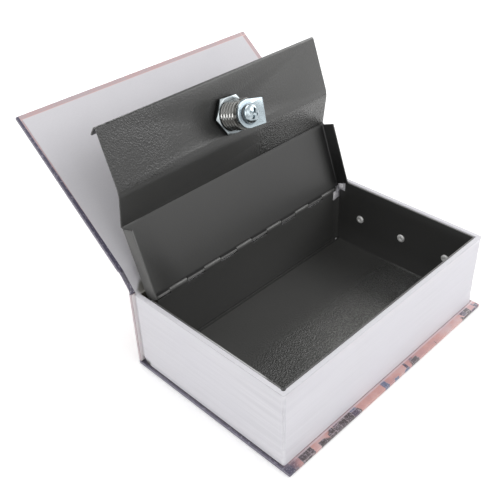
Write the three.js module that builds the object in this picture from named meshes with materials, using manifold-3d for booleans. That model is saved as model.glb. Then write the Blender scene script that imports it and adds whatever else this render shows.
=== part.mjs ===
// A book safe: a hardback-shaped case whose white page block holds a steel cash tray with a locking lid.
// Millimetres, +Z up. X runs along the spine, +Y points to the spine, -Y to the fore edge.
// The origin is the middle of the closed book's underside. The front cover and the lid stand open.

import * as THREE from "three";
import { mergeVertices } from "three/addons/utils/BufferGeometryUtils.js";
import Module from "manifold-3d";

const wasm = await Module();
wasm.setup();

// Page block
const blockWidth = 110;
const blockHeight = 50.5;
const rimWidth = 2.8;
const blockFloor = 1.1;
const spineRimWidth = 1.1;
const pageCornerRadius = 1.4;
const spineBottomRadius = 6;
const pageGrooveDepth = 0.3;
const pageGrooveHeight = 0.45;
const pageGroovePitch = 5.5;

// Case boards and paper
const boardLength = 180;
const boardMargin = 1.8;
const boardCore = 1.5;
const wrapThickness = 0.25;
const glueGap = 0.1;
const endpaperThickness = 0.15;
const turnIn = 14;
const foreOverhang = 5.6;
const spineGap = 1.9;
const endpaperMargin = 4.6;

// Front cover and its cloth joint
const coverOverhang = 5.8;
const jointThickness = 1.6;
const jointWidth = 12.7;
const creaseBehindBlock = 2.1;
const jointAngle = 52.5;
const coverAngle = 40;

// Steel tray and lid
const sheet = 0.8;
const fitGap = 0.3;
const turnedGap = 0.2;
const trayCornerRadius = 1.6;
const trayEdgeDrop = 0.4;
const cornerSlotLength = 5.6;
const cornerSlotHeight = 15.5;
const sideNotchLength = 4.4;
const sideNotchHeight = 8.5;

// Hinge
const hingeBelowRim = 6.3;
const pinRadius = 0.65;
const knuckleBore = 0.8;
const trayKnuckles = 6;
const firstKnuckleAt = 15.3;
const afterLastKnuckle = 4.45;
const knuckleGap = 0.35;
const knuckleSlotMargin = 0.7;
const rollTipAngle = 195;
const trayRollTipAngle = -105;

// Lid
const lidEndGap = 1;
const lidForeGap = 2.2;
const lidStepRun = 19.3;
const lidStepDepth = 9.9;
const lockPanel = 35.6;
const lidBendRadius = 1.4;
const lipLength = 7.6;
const lipAngle = 55;
const flangeDepth = 9.2;
const flangeStart = 4.1;
const lidOpenAngle = 110.3;

// Cam lock
const lockOffCentre = 0.9;
const lockFromEdge = 21.9;
const plugRadius = 6;
const barrelWall = 3;
const barrelFlatDepth = 0.8;
const threadDepth = 0.45;
const threadPitch = 1.2;
const barrelReach = 14.4;
const headOverhang = 2;
const headHeight = 2.4;
const headEdge = 0.7;
const nutWall = 1.45;
const nutThickness = 3.6;
const nutTurn = 4.3;
const plugFaceLip = 1.2;
const plugFaceHeight = 1.4;
const plugFaceSunk = 0.4;
const tailSide = 6.4;
const stopWasherInset = 0.9;
const stopWasherThickness = 1;
const camThickness = 1.9;
const camReach = 11.8;
const camShoulder = 0.8;
const camCornerRadius = 0.7;
const plugRestTurn = 8.9;
const springWasherRadius = 5.4;
const springWasherThickness = 0.8;
const screwHeadRadius = 5.2;
const screwHeadHeight = 3.2;
const screwRadius = 2;
const screwLength = 7;
const recessWidth = 1.1;
const recessLength = 5.8;
const recessDepth = 1.3;
const keywayWidth = 2.2;
const keywayHeight = 7;

// Wafers and their springs, inside the lock plug
const wafers = 4;
const waferPitch = 2.2;
const waferThickness = 0.7;
const waferWidth = 6;
const waferHeight = 9.4;
const waferSlotGap = 0.25;
const waferFromFace = 2.6;
const waferWindowWidth = 2.8;
const waferWindowHeight = 5.6;
const springPocketWidth = 1.9;
const springPocketHeight = 3.6;
const springRadius = 0.5;

// Strike channel that the cam turns under, and that the closed lid rests on
const strikeLength = 34;
const strikeSheet = 1.2;
const lidShelf = 8;
const camShelf = 14.5;

// Rivets through the tray's short walls
const rivetsPerWall = 3;
const rivetFromForeWall = 16;
const rivetFromHingeWall = 18.7;
const rivetAboveBase = 26.2;
const rivetHeadRadius = 2.3;
const rivetHeadHeight = 1;
const rivetRadius = 1.3;
const rivetGrip = 1.9;

// How finely round shapes are divided
const overrun = 2;
const roundSides = 32;
const smallSides = 20;
const arcSteps = 5;
const rollSteps = 14;

// Places worked out from the sizes
const wrapStack = wrapThickness + glueGap;
const caseThickness = boardCore + 2 * wrapStack;
const blockBase = caseThickness;
const blockLength = boardLength - 2 * boardMargin;
const spineInner = blockWidth + spineGap;
const spineOuter = spineInner + boardCore + 2 * wrapStack;
const footprint = foreOverhang + spineOuter;
const coverBoardWidth = blockWidth + creaseBehindBlock - jointWidth + coverOverhang;
const trayInset = rimWidth + fitGap;
const knuckleRadius = knuckleBore + sheet;
const rollRadius = knuckleBore + sheet / 2;
const hingeBehindFore = blockWidth - spineRimWidth - fitGap - knuckleRadius;
const hingeHeight = blockHeight - hingeBelowRim;
const trayBase = blockFloor + fitGap;
const trayTop = blockHeight - trayEdgeDrop;
const hingeWallInner = hingeBehindFore - knuckleRadius;
const hingeWallOuter = hingeBehindFore - knuckleBore;
const trayFrontInner = trayInset + sheet;
const trayLength = blockLength - 2 * trayInset;
const lidStart = trayFrontInner + lidEndGap;
const lidLength = blockLength - 2 * lidStart;
const lidReach = hingeBehindFore - trayFrontInner - lidForeGap;
const lidPanel = lidReach - lidStepRun - lockPanel;
const knucklePitch = (lidLength - firstKnuckleAt - afterLastKnuckle) / (2 * trayKnuckles - 1);
const lockAlongLid = lidLength / 2 + lockOffCentre;
const lidUnderside = hingeHeight - knuckleRadius;
const lockPanelUnderside = lidUnderside - lidStepDepth;
const barrelRadius = plugRadius + barrelWall;
const barrelFlat = barrelRadius - barrelFlatDepth;
const headRadius = barrelRadius + headOverhang;
const nutFlats = 2 * (barrelRadius + nutWall);
const plugFaceRadius = plugRadius + plugFaceLip;
const stopWasherRadius = barrelRadius - stopWasherInset;
const camRadius = stopWasherRadius;
const camHalfWidth = camRadius - camShoulder;
const camFace = barrelReach + turnedGap + stopWasherThickness + turnedGap;
const jointHalf = jointThickness / 2;
const barrelDepth = sheet + barrelReach;
const fullTurn = 2 * Math.PI;

// Finishes
function finish(color, roughness, metalness) {
  return new THREE.MeshStandardMaterial({ color, roughness, metalness });
}
const greyBoard = () => finish("#8f8a84", 0.95, 0);
const printedPaper = () => finish("#8a7390", 0.5, 0);
const pinkPaper = () => finish("#b99a9c", 0.55, 0);
const whitePaper = () => finish("#e0dfe4", 0.85, 0);
const whitePlastic = () => finish("#dcdbe0", 0.6, 0);
const hammeredCoat = () => finish("#3b3b3b", 0.45, 0.2);
const brightZinc = () => finish("#c9ced2", 0.25, 1);
const darkNickel = () => finish("#8e8f90", 0.3, 1);
const plainSteel = () => finish("#9a9a98", 0.4, 1);
const paleAluminium = () => finish("#cfcfcc", 0.5, 0.8);
const brass = () => finish("#b59a4c", 0.35, 1);

// Solids and meshes
function solidOf(geometry) {
  const bare = geometry.clone();
  bare.deleteAttribute("normal");
  bare.deleteAttribute("uv");
  const merged = mergeVertices(bare);
  return new wasm.Manifold(
    new wasm.Mesh({
      numProp: 3,
      vertProperties: new Float32Array(merged.attributes.position.array),
      triVerts: new Uint32Array(merged.index.array),
    }),
  );
}

function geometryOf(solid) {
  const { vertProperties, triVerts } = solid.getMesh();
  const geometry = new THREE.BufferGeometry();
  geometry.setAttribute("position", new THREE.BufferAttribute(vertProperties, 3));
  geometry.setIndex(new THREE.BufferAttribute(triVerts, 1));
  geometry.computeVertexNormals();
  return geometry;
}

function piece(parent, name, shape, material) {
  const geometry = shape.isBufferGeometry ? shape : geometryOf(shape);
  const mesh = new THREE.Mesh(geometry, material);
  mesh.name = name;
  parent.add(mesh);
  return mesh;
}

function boxBetween(low, high) {
  const size = high.map((value, axis) => value - low[axis]);
  const middle = high.map((value, axis) => (value + low[axis]) / 2);
  return new THREE.BoxGeometry(...size).translate(...middle);
}

const boxSolid = (low, high) => solidOf(boxBetween(low, high));

// An outline of [y, z] points, extruded along X from start.
function alongX(outline, start, length) {
  const shape = new THREE.Shape(outline.map(([y, z]) => new THREE.Vector2(y, z)));
  const geometry = new THREE.ExtrudeGeometry(shape, { depth: length, bevelEnabled: false });
  const turn = new THREE.Matrix4().makeBasis(
    new THREE.Vector3(0, 1, 0),
    new THREE.Vector3(0, 0, 1),
    new THREE.Vector3(1, 0, 0),
  );
  return geometry.applyMatrix4(turn).translate(start, 0, 0);
}

// An outline of [x, y] points, or a Shape, extruded up from low to high.
function upwards(outline, low, high) {
  const shape = outline instanceof THREE.Shape
    ? outline
    : new THREE.Shape(outline.map(([x, y]) => new THREE.Vector2(x, y)));
  return new THREE.ExtrudeGeometry(shape, {
    depth: high - low,
    bevelEnabled: false,
    curveSegments: arcSteps,
  }).translate(0, 0, low);
}

// A round post along Z.
function post(radius, low, high, sides = roundSides) {
  const profile = [
    [0, low],
    [radius, low],
    [radius, high],
    [0, high],
  ];
  return lathed(profile, sides);
}

// A [radius, z] profile turned about Z. It starts and ends on the axis, and runs up the outside.
function lathed(profile, sides = roundSides) {
  const points = profile.map(([radius, height]) => new THREE.Vector2(radius, height));
  return new THREE.LatheGeometry(points, sides).rotateX(Math.PI / 2);
}

function roundedRectangle(x0, x1, y0, y1, radii) {
  const [r00, r10, r11, r01] = radii;
  const shape = new THREE.Shape();
  shape.moveTo(x0 + r00, y0);
  shape.lineTo(x1 - r10, y0);
  if (r10) shape.absarc(x1 - r10, y0 + r10, r10, -Math.PI / 2, 0);
  shape.lineTo(x1, y1 - r11);
  if (r11) shape.absarc(x1 - r11, y1 - r11, r11, 0, Math.PI / 2);
  shape.lineTo(x0 + r01, y1);
  if (r01) shape.absarc(x0 + r01, y1 - r01, r01, Math.PI / 2, Math.PI);
  shape.lineTo(x0, y0 + r00);
  if (r00) shape.absarc(x0 + r00, y0 + r00, r00, Math.PI, 1.5 * Math.PI);
  return shape;
}

// Points on a circle about [y, z], between two angles in degrees.
function arcPoints(center, radius, from, to, steps) {
  const points = [];
  for (let step = 0; step <= steps; step += 1) {
    const angle = THREE.MathUtils.degToRad(from + ((to - from) * step) / steps);
    points.push([center[0] + radius * Math.cos(angle), center[1] + radius * Math.sin(angle)]);
  }
  return points;
}

// Rounds the inner corners of an open path.
function filleted(path, radius) {
  const out = [path[0]];
  for (let i = 1; i < path.length - 1; i += 1) {
    const here = new THREE.Vector2(...path[i]);
    const back = new THREE.Vector2(...path[i - 1]).sub(here).normalize();
    const ahead = new THREE.Vector2(...path[i + 1]).sub(here).normalize();
    const half = Math.acos(THREE.MathUtils.clamp(back.dot(ahead), -1, 1)) / 2;
    const reach = radius / Math.tan(half);
    const middle = back.clone().add(ahead).normalize();
    const center = here.clone().addScaledVector(middle, radius / Math.sin(half));
    const first = here.clone().addScaledVector(back, reach).sub(center);
    const last = here.clone().addScaledVector(ahead, reach).sub(center);
    const sweep = Math.atan2(first.cross(last), first.dot(last));
    for (let step = 0; step <= arcSteps; step += 1) {
      const spoke = first.clone().rotateAround(new THREE.Vector2(), (sweep * step) / arcSteps);
      out.push([center.x + spoke.x, center.y + spoke.y]);
    }
  }
  out.push(path[path.length - 1]);
  return out;
}

// The outline of bent sheet metal whose middle follows a path.
function sheetOutline(path, thickness) {
  const sides = [[], []];
  path.forEach((point, i) => {
    const before = path[Math.max(i - 1, 0)];
    const after = path[Math.min(i + 1, path.length - 1)];
    const incoming = new THREE.Vector2(point[0] - before[0], point[1] - before[1]).normalize();
    const outgoing = new THREE.Vector2(after[0] - point[0], after[1] - point[1]).normalize();
    const along = incoming.clone().add(outgoing).normalize();
    const straight = incoming.length() && outgoing.length() ? along.dot(outgoing) : 1;
    const offset = thickness / 2 / straight;
    sides[0].push([point[0] - along.y * offset, point[1] + along.x * offset]);
    sides[1].unshift([point[0] + along.y * offset, point[1] - along.x * offset]);
  });
  return sides.flat();
}

// Frames: the whole book, and a frame whose corner is the page block's low fore corner
const book = new THREE.Group();
const blockFrame = new THREE.Group();
blockFrame.position.set(-blockLength / 2, foreOverhang - footprint / 2, blockBase);
book.add(blockFrame);

// A board wrapped in printed paper, flat in X and Y with its outer face down. The core fills low to
// high. The paper covers its underside, turns over the edges that are named, and laps onto its top.
function boardPaper(low, high, turned) {
  const reach = (edge, away) => (turned[edge] ? away : 0);
  const stack = wrapStack;
  const outer = boxSolid(
    [low[0] - reach("head", stack), low[1] - reach("front", stack), low[2] - stack],
    [high[0] + reach("tail", stack), high[1] + reach("back", stack), high[2] + stack],
  );
  const hollow = boxSolid(
    [
      low[0] - (turned.head ? glueGap : overrun),
      low[1] - (turned.front ? glueGap : overrun),
      low[2] - glueGap,
    ],
    [
      high[0] + (turned.tail ? glueGap : overrun),
      high[1] + (turned.back ? glueGap : overrun),
      high[2] + glueGap,
    ],
  );
  const window = boxSolid(
    [
      low[0] + (turned.head ? turnIn : -overrun),
      low[1] + (turned.front ? turnIn : -overrun),
      low[2],
    ],
    [
      high[0] - (turned.tail ? turnIn : -overrun),
      high[1] - (turned.back ? turnIn : -overrun),
      high[2] + overrun,
    ],
  );
  return outer.subtract(hollow).subtract(window);
}

// Back cover: board and wrap
function makeBackCover() {
  const low = [-boardMargin + wrapStack, -foreOverhang + wrapStack, wrapStack - blockBase];
  const high = [
    blockLength + boardMargin - wrapStack,
    spineOuter - wrapStack,
    wrapStack + boardCore - blockBase,
  ];
  piece(blockFrame, "back_cover_board", boxBetween(low, high), greyBoard());
  const paper = boardPaper(low, high, { head: true, tail: true, front: true, back: true });
  piece(blockFrame, "back_cover_wrap", paper, printedPaper());
}

// Spine: the same stack, stood on edge behind the block
function makeSpine() {
  const spine = new THREE.Group();
  spine.position.set(0, spineOuter, 0);
  spine.rotation.x = Math.PI / 2;
  blockFrame.add(spine);
  const low = [-boardMargin + wrapStack, turnedGap + wrapStack, wrapStack];
  const high = [
    blockLength + boardMargin - wrapStack,
    blockHeight - wrapStack,
    wrapStack + boardCore,
  ];
  piece(spine, "spine_board", boxBetween(low, high), greyBoard());
  const paper = boardPaper(low, high, { head: true, tail: true, front: true, back: true });
  piece(spine, "spine_wrap", paper, pinkPaper());
}

// Front cover: the cloth joint turns on the crease, and the board turns on the joint's far edge
function makeFrontCover() {
  const joint = new THREE.Group();
  joint.position.set(0, blockWidth + creaseBehindBlock, blockHeight + fitGap + jointHalf);
  joint.rotation.x = THREE.MathUtils.degToRad(jointAngle);
  blockFrame.add(joint);
  const ends = [
    ...arcPoints([0, 0], jointHalf, 90, 270, 2 * arcSteps),
    ...arcPoints([jointWidth, 0], jointHalf, -90, 90, 2 * arcSteps),
  ];
  piece(joint, "front_joint", alongX(ends, -boardMargin, boardLength), pinkPaper());

  const cover = new THREE.Group();
  cover.position.set(0, jointWidth, 0);
  cover.rotation.x = THREE.MathUtils.degToRad(coverAngle - jointAngle);
  joint.add(cover);
  const innerFace = jointHalf - endpaperThickness - glueGap;
  const start = jointHalf + fitGap;
  const low = [-boardMargin + wrapStack, start, innerFace - wrapStack - boardCore];
  const high = [
    blockLength + boardMargin - wrapStack,
    coverBoardWidth - wrapStack,
    innerFace - wrapStack,
  ];
  piece(cover, "front_cover_board", boxBetween(low, high), greyBoard());
  const paper = boardPaper(low, high, { head: true, tail: true, front: false, back: true });
  piece(cover, "front_cover_wrap", paper, printedPaper());
  const sheetLow = [-boardMargin + endpaperMargin, start, innerFace + glueGap];
  const sheetHigh = [
    blockLength + boardMargin - endpaperMargin,
    coverBoardWidth - endpaperMargin,
    jointHalf,
  ];
  piece(cover, "front_endpaper", boxBetween(sheetLow, sheetHigh), whitePaper());
}

// Page block: one moulded shell with a stepped rim at the spine side and a line for each signature
function makePageBlock() {
  const corner = pageCornerRadius;
  const footprintShape = roundedRectangle(0, blockLength, 0, blockWidth, [corner, corner, 0, 0]);
  const outside = solidOf(upwards(footprintShape, 0, blockHeight));
  const spineProfile = [
    [-overrun, 0],
    ...arcPoints(
      [blockWidth - spineBottomRadius, spineBottomRadius],
      spineBottomRadius,
      -90,
      0,
      arcSteps,
    ),
    [blockWidth, blockHeight],
    [-overrun, blockHeight],
  ];
  const rounded = outside.intersect(
    solidOf(alongX(spineProfile, -overrun, blockLength + 2 * overrun)),
  );
  const well = boxSolid(
    [rimWidth, rimWidth, blockFloor],
    [blockLength - rimWidth, hingeWallOuter + fitGap, blockHeight + overrun],
  );
  const hingeRabbet = boxSolid(
    [rimWidth, hingeWallInner, hingeHeight - knuckleRadius - knuckleSlotMargin - fitGap],
    [blockLength - rimWidth, blockWidth - spineRimWidth, blockHeight + overrun],
  );
  let block = rounded.subtract(well).subtract(hingeRabbet);
  for (let z = pageGroovePitch; z < blockHeight - pageGroovePitch / 2; z += pageGroovePitch) {
    block = block.subtract(pageGroove(z));
  }
  for (const { x, y, inward } of rivetPlaces()) {
    const start = x - inward * (sheet + fitGap + rivetGrip + fitGap);
    const hole = post(rivetRadius + fitGap, 0, rivetGrip + 2 * fitGap + sheet, smallSides)
      .rotateY((inward * Math.PI) / 2)
      .translate(start, y, rivetAboveBase);
    block = block.subtract(solidOf(hole));
  }
  piece(blockFrame, "page_block", block, whitePlastic());
}

// A shallow line round the head, fore edge and tail
function pageGroove(z) {
  const inset = pageGrooveDepth;
  const corner = pageCornerRadius - inset;
  const outer = boxSolid(
    [-overrun, -overrun, z],
    [blockLength + overrun, blockWidth - overrun, z + pageGrooveHeight],
  );
  const shape = roundedRectangle(inset, blockLength - inset, inset, blockWidth, [
    corner,
    corner,
    0,
    0,
  ]);
  const inner = solidOf(upwards(shape, z - overrun, z + pageGrooveHeight + overrun));
  return outer.subtract(inner);
}

// Where the rivets stand, on the inner faces of the tray's short walls
function rivetPlaces() {
  const places = [];
  const first = trayFrontInner + rivetFromForeWall;
  const last = hingeWallInner - rivetFromHingeWall;
  for (let i = 0; i < rivetsPerWall; i += 1) {
    const y = first + ((last - first) * i) / (rivetsPerWall - 1);
    places.push({ x: trayInset + sheet, y, inward: 1, wall: "head", number: i + 1 });
    places.push({
      x: blockLength - trayInset - sheet,
      y,
      inward: -1,
      wall: "tail",
      number: i + 1,
    });
  }
  return places;
}

// Where the tray's knuckles start, from the page block's head end
function trayKnuckleStarts() {
  return Array.from(
    { length: trayKnuckles },
    (_, i) => lidStart + firstKnuckleAt + 2 * i * knucklePitch,
  );
}

// Tray: a welded box whose hinge wall is rolled round the pin
function makeTray() {
  const r = trayCornerRadius;
  const far = blockLength - trayInset;
  const outerShape = roundedRectangle(trayInset, far, trayInset, hingeWallOuter, [r, r, 0, 0]);
  const innerShape = roundedRectangle(
    trayInset + sheet,
    far - sheet,
    trayInset + sheet,
    hingeWallInner,
    [r - sheet, r - sheet, 0, 0],
  );
  let tray = solidOf(upwards(outerShape, trayBase, trayTop));
  tray = tray.subtract(solidOf(upwards(innerShape, trayBase + sheet, blockHeight + overrun)));
  const aboveHinge = boxSolid(
    [trayInset + sheet, hingeWallInner - sheet, hingeHeight],
    [far - sheet, blockWidth, blockHeight + overrun],
  );
  tray = tray.subtract(aboveHinge);

  const wallFoot = trayBase + sheet;
  const roll = sheetOutline(
    [
      ...arcPoints([hingeBehindFore, hingeHeight], rollRadius, trayRollTipAngle, 180, rollSteps),
      [hingeBehindFore - rollRadius, wallFoot],
    ],
    sheet,
  );
  tray = tray.add(solidOf(alongX(roll, trayInset + sheet, trayLength - 2 * sheet)));

  // The rolled edge is cut away everywhere except at the tray's own knuckles
  let from = trayInset + sheet;
  const slotFloor = hingeHeight - knuckleRadius - knuckleSlotMargin;
  for (const start of [...trayKnuckleStarts(), null]) {
    const to = start === null ? far - sheet : start + knuckleGap / 2;
    const slot = boxSolid(
      [from, hingeWallInner - overrun, slotFloor],
      [to, blockWidth, blockHeight + overrun],
    );
    tray = tray.subtract(slot);
    if (start !== null) from = start + knucklePitch - knuckleGap / 2;
  }

  // Corner slots by the hinge, where the white block shows
  for (const [low, high] of [
    [trayInset + sheet, trayInset + sheet + cornerSlotLength],
    [far - sheet - cornerSlotLength, far - sheet],
  ]) {
    const corner = boxSolid(
      [low, hingeWallInner - overrun, blockHeight - cornerSlotHeight],
      [high, blockWidth, blockHeight + overrun],
    );
    tray = tray.subtract(corner);
  }
  const sideNotch = boxSolid(
    [0, hingeWallInner - sideNotchLength, blockHeight - sideNotchHeight],
    [blockLength, blockWidth, blockHeight + overrun],
  );
  const hingeZone = boxSolid(
    [trayInset + sheet, 0, 0],
    [far - sheet, blockWidth, blockHeight + overrun],
  );
  tray = tray.subtract(sideNotch.subtract(hingeZone));
  for (const { x, y, inward } of rivetPlaces()) {
    const hole = post(rivetRadius + turnedGap, -overrun, sheet + fitGap, smallSides)
      .rotateY((-inward * Math.PI) / 2)
      .translate(x, y, rivetAboveBase);
    tray = tray.subtract(solidOf(hole));
  }
  piece(blockFrame, "tray", tray, hammeredCoat());
}

// Hinge pin, held by the tray's knuckles
function makePin() {
  const pin = post(pinRadius, fitGap, lidLength - fitGap, smallSides)
    .rotateY(Math.PI / 2)
    .translate(lidStart, hingeBehindFore, hingeHeight);
  piece(blockFrame, "hinge_pin", pin, plainSteel());
}

// Rivets: a domed head inside the tray and a shank into the page block
function makeRivets() {
  for (const { x, y, inward, wall, number } of rivetPlaces()) {
    const grip = sheet + fitGap + rivetGrip;
    const profile = [
      [0, -grip],
      [rivetRadius, -grip],
      [rivetRadius, turnedGap / 2],
      [rivetHeadRadius, turnedGap / 2],
      [rivetHeadRadius, turnedGap / 2 + rivetHeadHeight / 3],
      [rivetHeadRadius * Math.SQRT1_2, rivetHeadHeight],
      [0, turnedGap / 2 + rivetHeadHeight],
    ];
    const rivet = lathed(profile, smallSides)
      .rotateY((inward * Math.PI) / 2)
      .translate(x, y, rivetAboveBase);
    piece(blockFrame, `rivet_${wall}_${number}`, rivet, paleAluminium());
  }
}

// Strike: a channel on the fore wall. Its top shelf carries the closed lid and its lower shelf
// holds the cam down.
function makeStrike() {
  const wall = trayFrontInner;
  const top = lockPanelUnderside - fitGap;
  const bottom = lockPanelUnderside - camFace + fitGap;
  const outline = [
    [wall, bottom],
    [wall + camShelf, bottom],
    [wall + camShelf, bottom + strikeSheet],
    [wall + strikeSheet, bottom + strikeSheet],
    [wall + strikeSheet, top - strikeSheet],
    [wall + lidShelf, top - strikeSheet],
    [wall + lidShelf, top],
    [wall, top],
  ];
  const start = lidStart + lockAlongLid - strikeLength / 2;
  piece(blockFrame, "strike", alongX(outline, start, strikeLength), hammeredCoat());
}

// Lid, drawn closed about the pin's axis and then turned open
function makeLid() {
  const lidFrame = new THREE.Group();
  lidFrame.position.set(lidStart, hingeBehindFore, hingeHeight);
  lidFrame.rotation.x = -THREE.MathUtils.degToRad(lidOpenAngle);
  blockFrame.add(lidFrame);

  const lip = THREE.MathUtils.degToRad(lipAngle);
  const level = -rollRadius;
  const bends = filleted(
    [
      [-lidBendRadius, level],
      [-lidPanel, level],
      [-lidPanel - lidStepRun, level - lidStepDepth],
      [-lidReach, level - lidStepDepth],
      [
        -lidReach + lipLength * Math.cos(lip),
        level - lidStepDepth + lipLength * Math.sin(lip),
      ],
    ],
    lidBendRadius,
  );
  const rolled = arcPoints([0, 0], rollRadius, rollTipAngle, -90, rollSteps);
  let lid = solidOf(alongX(sheetOutline([...rolled, ...bends], sheet), 0, lidLength));

  for (const low of [0, lidLength - sheet]) {
    const flange = boxSolid(
      [low, -lidPanel, level - sheet / 2 - flangeDepth],
      [low + sheet, -flangeStart, level],
    );
    lid = lid.add(flange);
  }
  for (const start of trayKnuckleStarts()) {
    const slot = boxSolid(
      [
        start - lidStart - knuckleGap / 2,
        -knuckleRadius - knuckleSlotMargin,
        -knuckleRadius - overrun,
      ],
      [
        start - lidStart + knucklePitch + knuckleGap / 2,
        knuckleRadius + overrun,
        knuckleRadius + overrun,
      ],
    );
    lid = lid.subtract(slot);
  }
  const lockY = -lidReach + lockFromEdge;
  const bore = solidOf(post(barrelRadius + fitGap, -overrun, overrun)).intersect(
    boxSolid(
      [-barrelRadius - overrun, -barrelFlat - fitGap, -overrun],
      [barrelRadius + overrun, barrelFlat + fitGap, overrun],
    ),
  );
  lid = lid.subtract(bore.translate(lockAlongLid, lockY, level - lidStepDepth));
  piece(lidFrame, "lid", lid, hammeredCoat());

  const lockFrame = new THREE.Group();
  lockFrame.position.set(lockAlongLid, lockY, level - lidStepDepth + sheet / 2);
  lidFrame.add(lockFrame);
  makeLock(lockFrame);
}

// Cam lock: Z is its axis, with the key face up and the lock panel's outer face at zero
function makeLock(frame) {
  const boreGap = fitGap;
  const screwEnd = -barrelDepth - turnedGap - stopWasherThickness - turnedGap - camThickness;

  // Barrel with its head, thread and two flats
  const headTop = turnedGap + headHeight;
  const thread = [
    [0, -barrelDepth],
    [barrelRadius - threadDepth, -barrelDepth],
  ];
  const threads = Math.floor((barrelReach - threadPitch) / threadPitch);
  for (let i = 0; i < threads; i += 1) {
    const z = -barrelDepth + i * threadPitch;
    thread.push([barrelRadius, z + threadPitch / 2]);
    thread.push([barrelRadius - threadDepth, z + threadPitch]);
  }
  thread.push([barrelRadius - threadDepth, headTop - headEdge], [0, headTop - headEdge]);
  const flats = boxSolid(
    [-headRadius, -barrelFlat, -barrelDepth - overrun],
    [headRadius, barrelFlat, headTop],
  );
  const head = lathed([
    [0, turnedGap],
    [headRadius, turnedGap],
    [headRadius, headTop - headEdge],
    [headRadius - headEdge, headTop],
    [0, headTop],
  ]);
  const faceFloor = headTop - plugFaceSunk - plugFaceHeight - boreGap;
  const barrel = solidOf(lathed(thread))
    .intersect(flats)
    .add(solidOf(head))
    .subtract(solidOf(post(plugRadius + boreGap, -barrelDepth - overrun, headTop + overrun)))
    .subtract(solidOf(post(plugFaceRadius + boreGap, faceFloor, headTop + overrun)));
  piece(frame, "lock_barrel", barrel, darkNickel());

  // Hex nut under the lock panel
  const nutTop = -sheet - turnedGap;
  const corner = nutFlats / Math.sqrt(3);
  const hex = new THREE.Shape(
    Array.from({ length: 6 }, (_, i) => {
      const angle = THREE.MathUtils.degToRad(nutTurn) + (i * fullTurn) / 6;
      return new THREE.Vector2(corner * Math.cos(angle), corner * Math.sin(angle));
    }),
  );
  const nut = solidOf(upwards(hex, nutTop - nutThickness, nutTop)).subtract(
    solidOf(post(barrelRadius + fitGap, nutTop - nutThickness - overrun, nutTop + overrun)),
  );
  piece(frame, "lock_nut", nut, brightZinc());

  // What turns with the key, at rest a little past the lid's long direction
  const turning = new THREE.Group();
  turning.rotation.z = THREE.MathUtils.degToRad(plugRestTurn);
  frame.add(turning);
  makePlug(turning, faceFloor + boreGap, screwEnd);

  // Stop washer, cam, spring washer and screw, stacked on the plug's square tail
  const hole = (low, high) => {
    const half = tailSide / 2 + turnedGap;
    return boxSolid([-half, -half, low - overrun], [half, half, high + overrun]);
  };
  const washerTop = -barrelDepth - turnedGap;
  const washerLow = washerTop - stopWasherThickness;
  const washer = solidOf(post(stopWasherRadius, washerLow, washerTop));
  piece(turning, "stop_washer", washer.subtract(hole(washerLow, washerTop)), plainSteel());

  const camTop = washerLow - turnedGap;
  const camLow = camTop - camThickness;
  const arm = roundedRectangle(0, camReach, -camHalfWidth, camHalfWidth, [
    0,
    camCornerRadius,
    camCornerRadius,
    0,
  ]);
  const cam = solidOf(post(camRadius, camLow, camTop)).add(
    solidOf(upwards(arm, camLow, camTop)),
  );
  piece(turning, "lock_cam", cam.subtract(hole(camLow, camTop)), brightZinc());

  const springTop = camLow - turnedGap;
  const springLow = springTop - springWasherThickness;
  const ring = solidOf(post(springWasherRadius, springLow, springTop)).subtract(
    solidOf(post(screwRadius + fitGap, springLow - overrun, springTop + overrun)),
  );
  const split = boxSolid(
    [0, -turnedGap, springLow - overrun],
    [springWasherRadius + overrun, turnedGap, springTop + overrun],
  );
  piece(turning, "spring_washer", ring.subtract(split), plainSteel());

  const screwTop = springLow - turnedGap;
  const screwLow = screwTop - screwHeadHeight;
  const shape = [
    [0, screwLow],
    [screwHeadRadius / 2, screwLow + headEdge / 4],
    [screwHeadRadius - headEdge, screwLow + headEdge],
    [screwHeadRadius, screwTop - headEdge],
    [screwHeadRadius, screwTop],
    [screwRadius, screwTop],
    [screwRadius, screwTop + screwLength],
    [0, screwTop + screwLength],
  ];
  let screw = solidOf(lathed(shape));
  for (const [across, along] of [
    [recessWidth, recessLength],
    [recessLength, recessWidth],
  ]) {
    const slot = boxSolid(
      [-across / 2, -along / 2, screwLow - overrun],
      [across / 2, along / 2, screwLow + recessDepth],
    );
    screw = screw.subtract(slot);
  }
  piece(turning, "cam_screw", screw, brightZinc());
}

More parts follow.
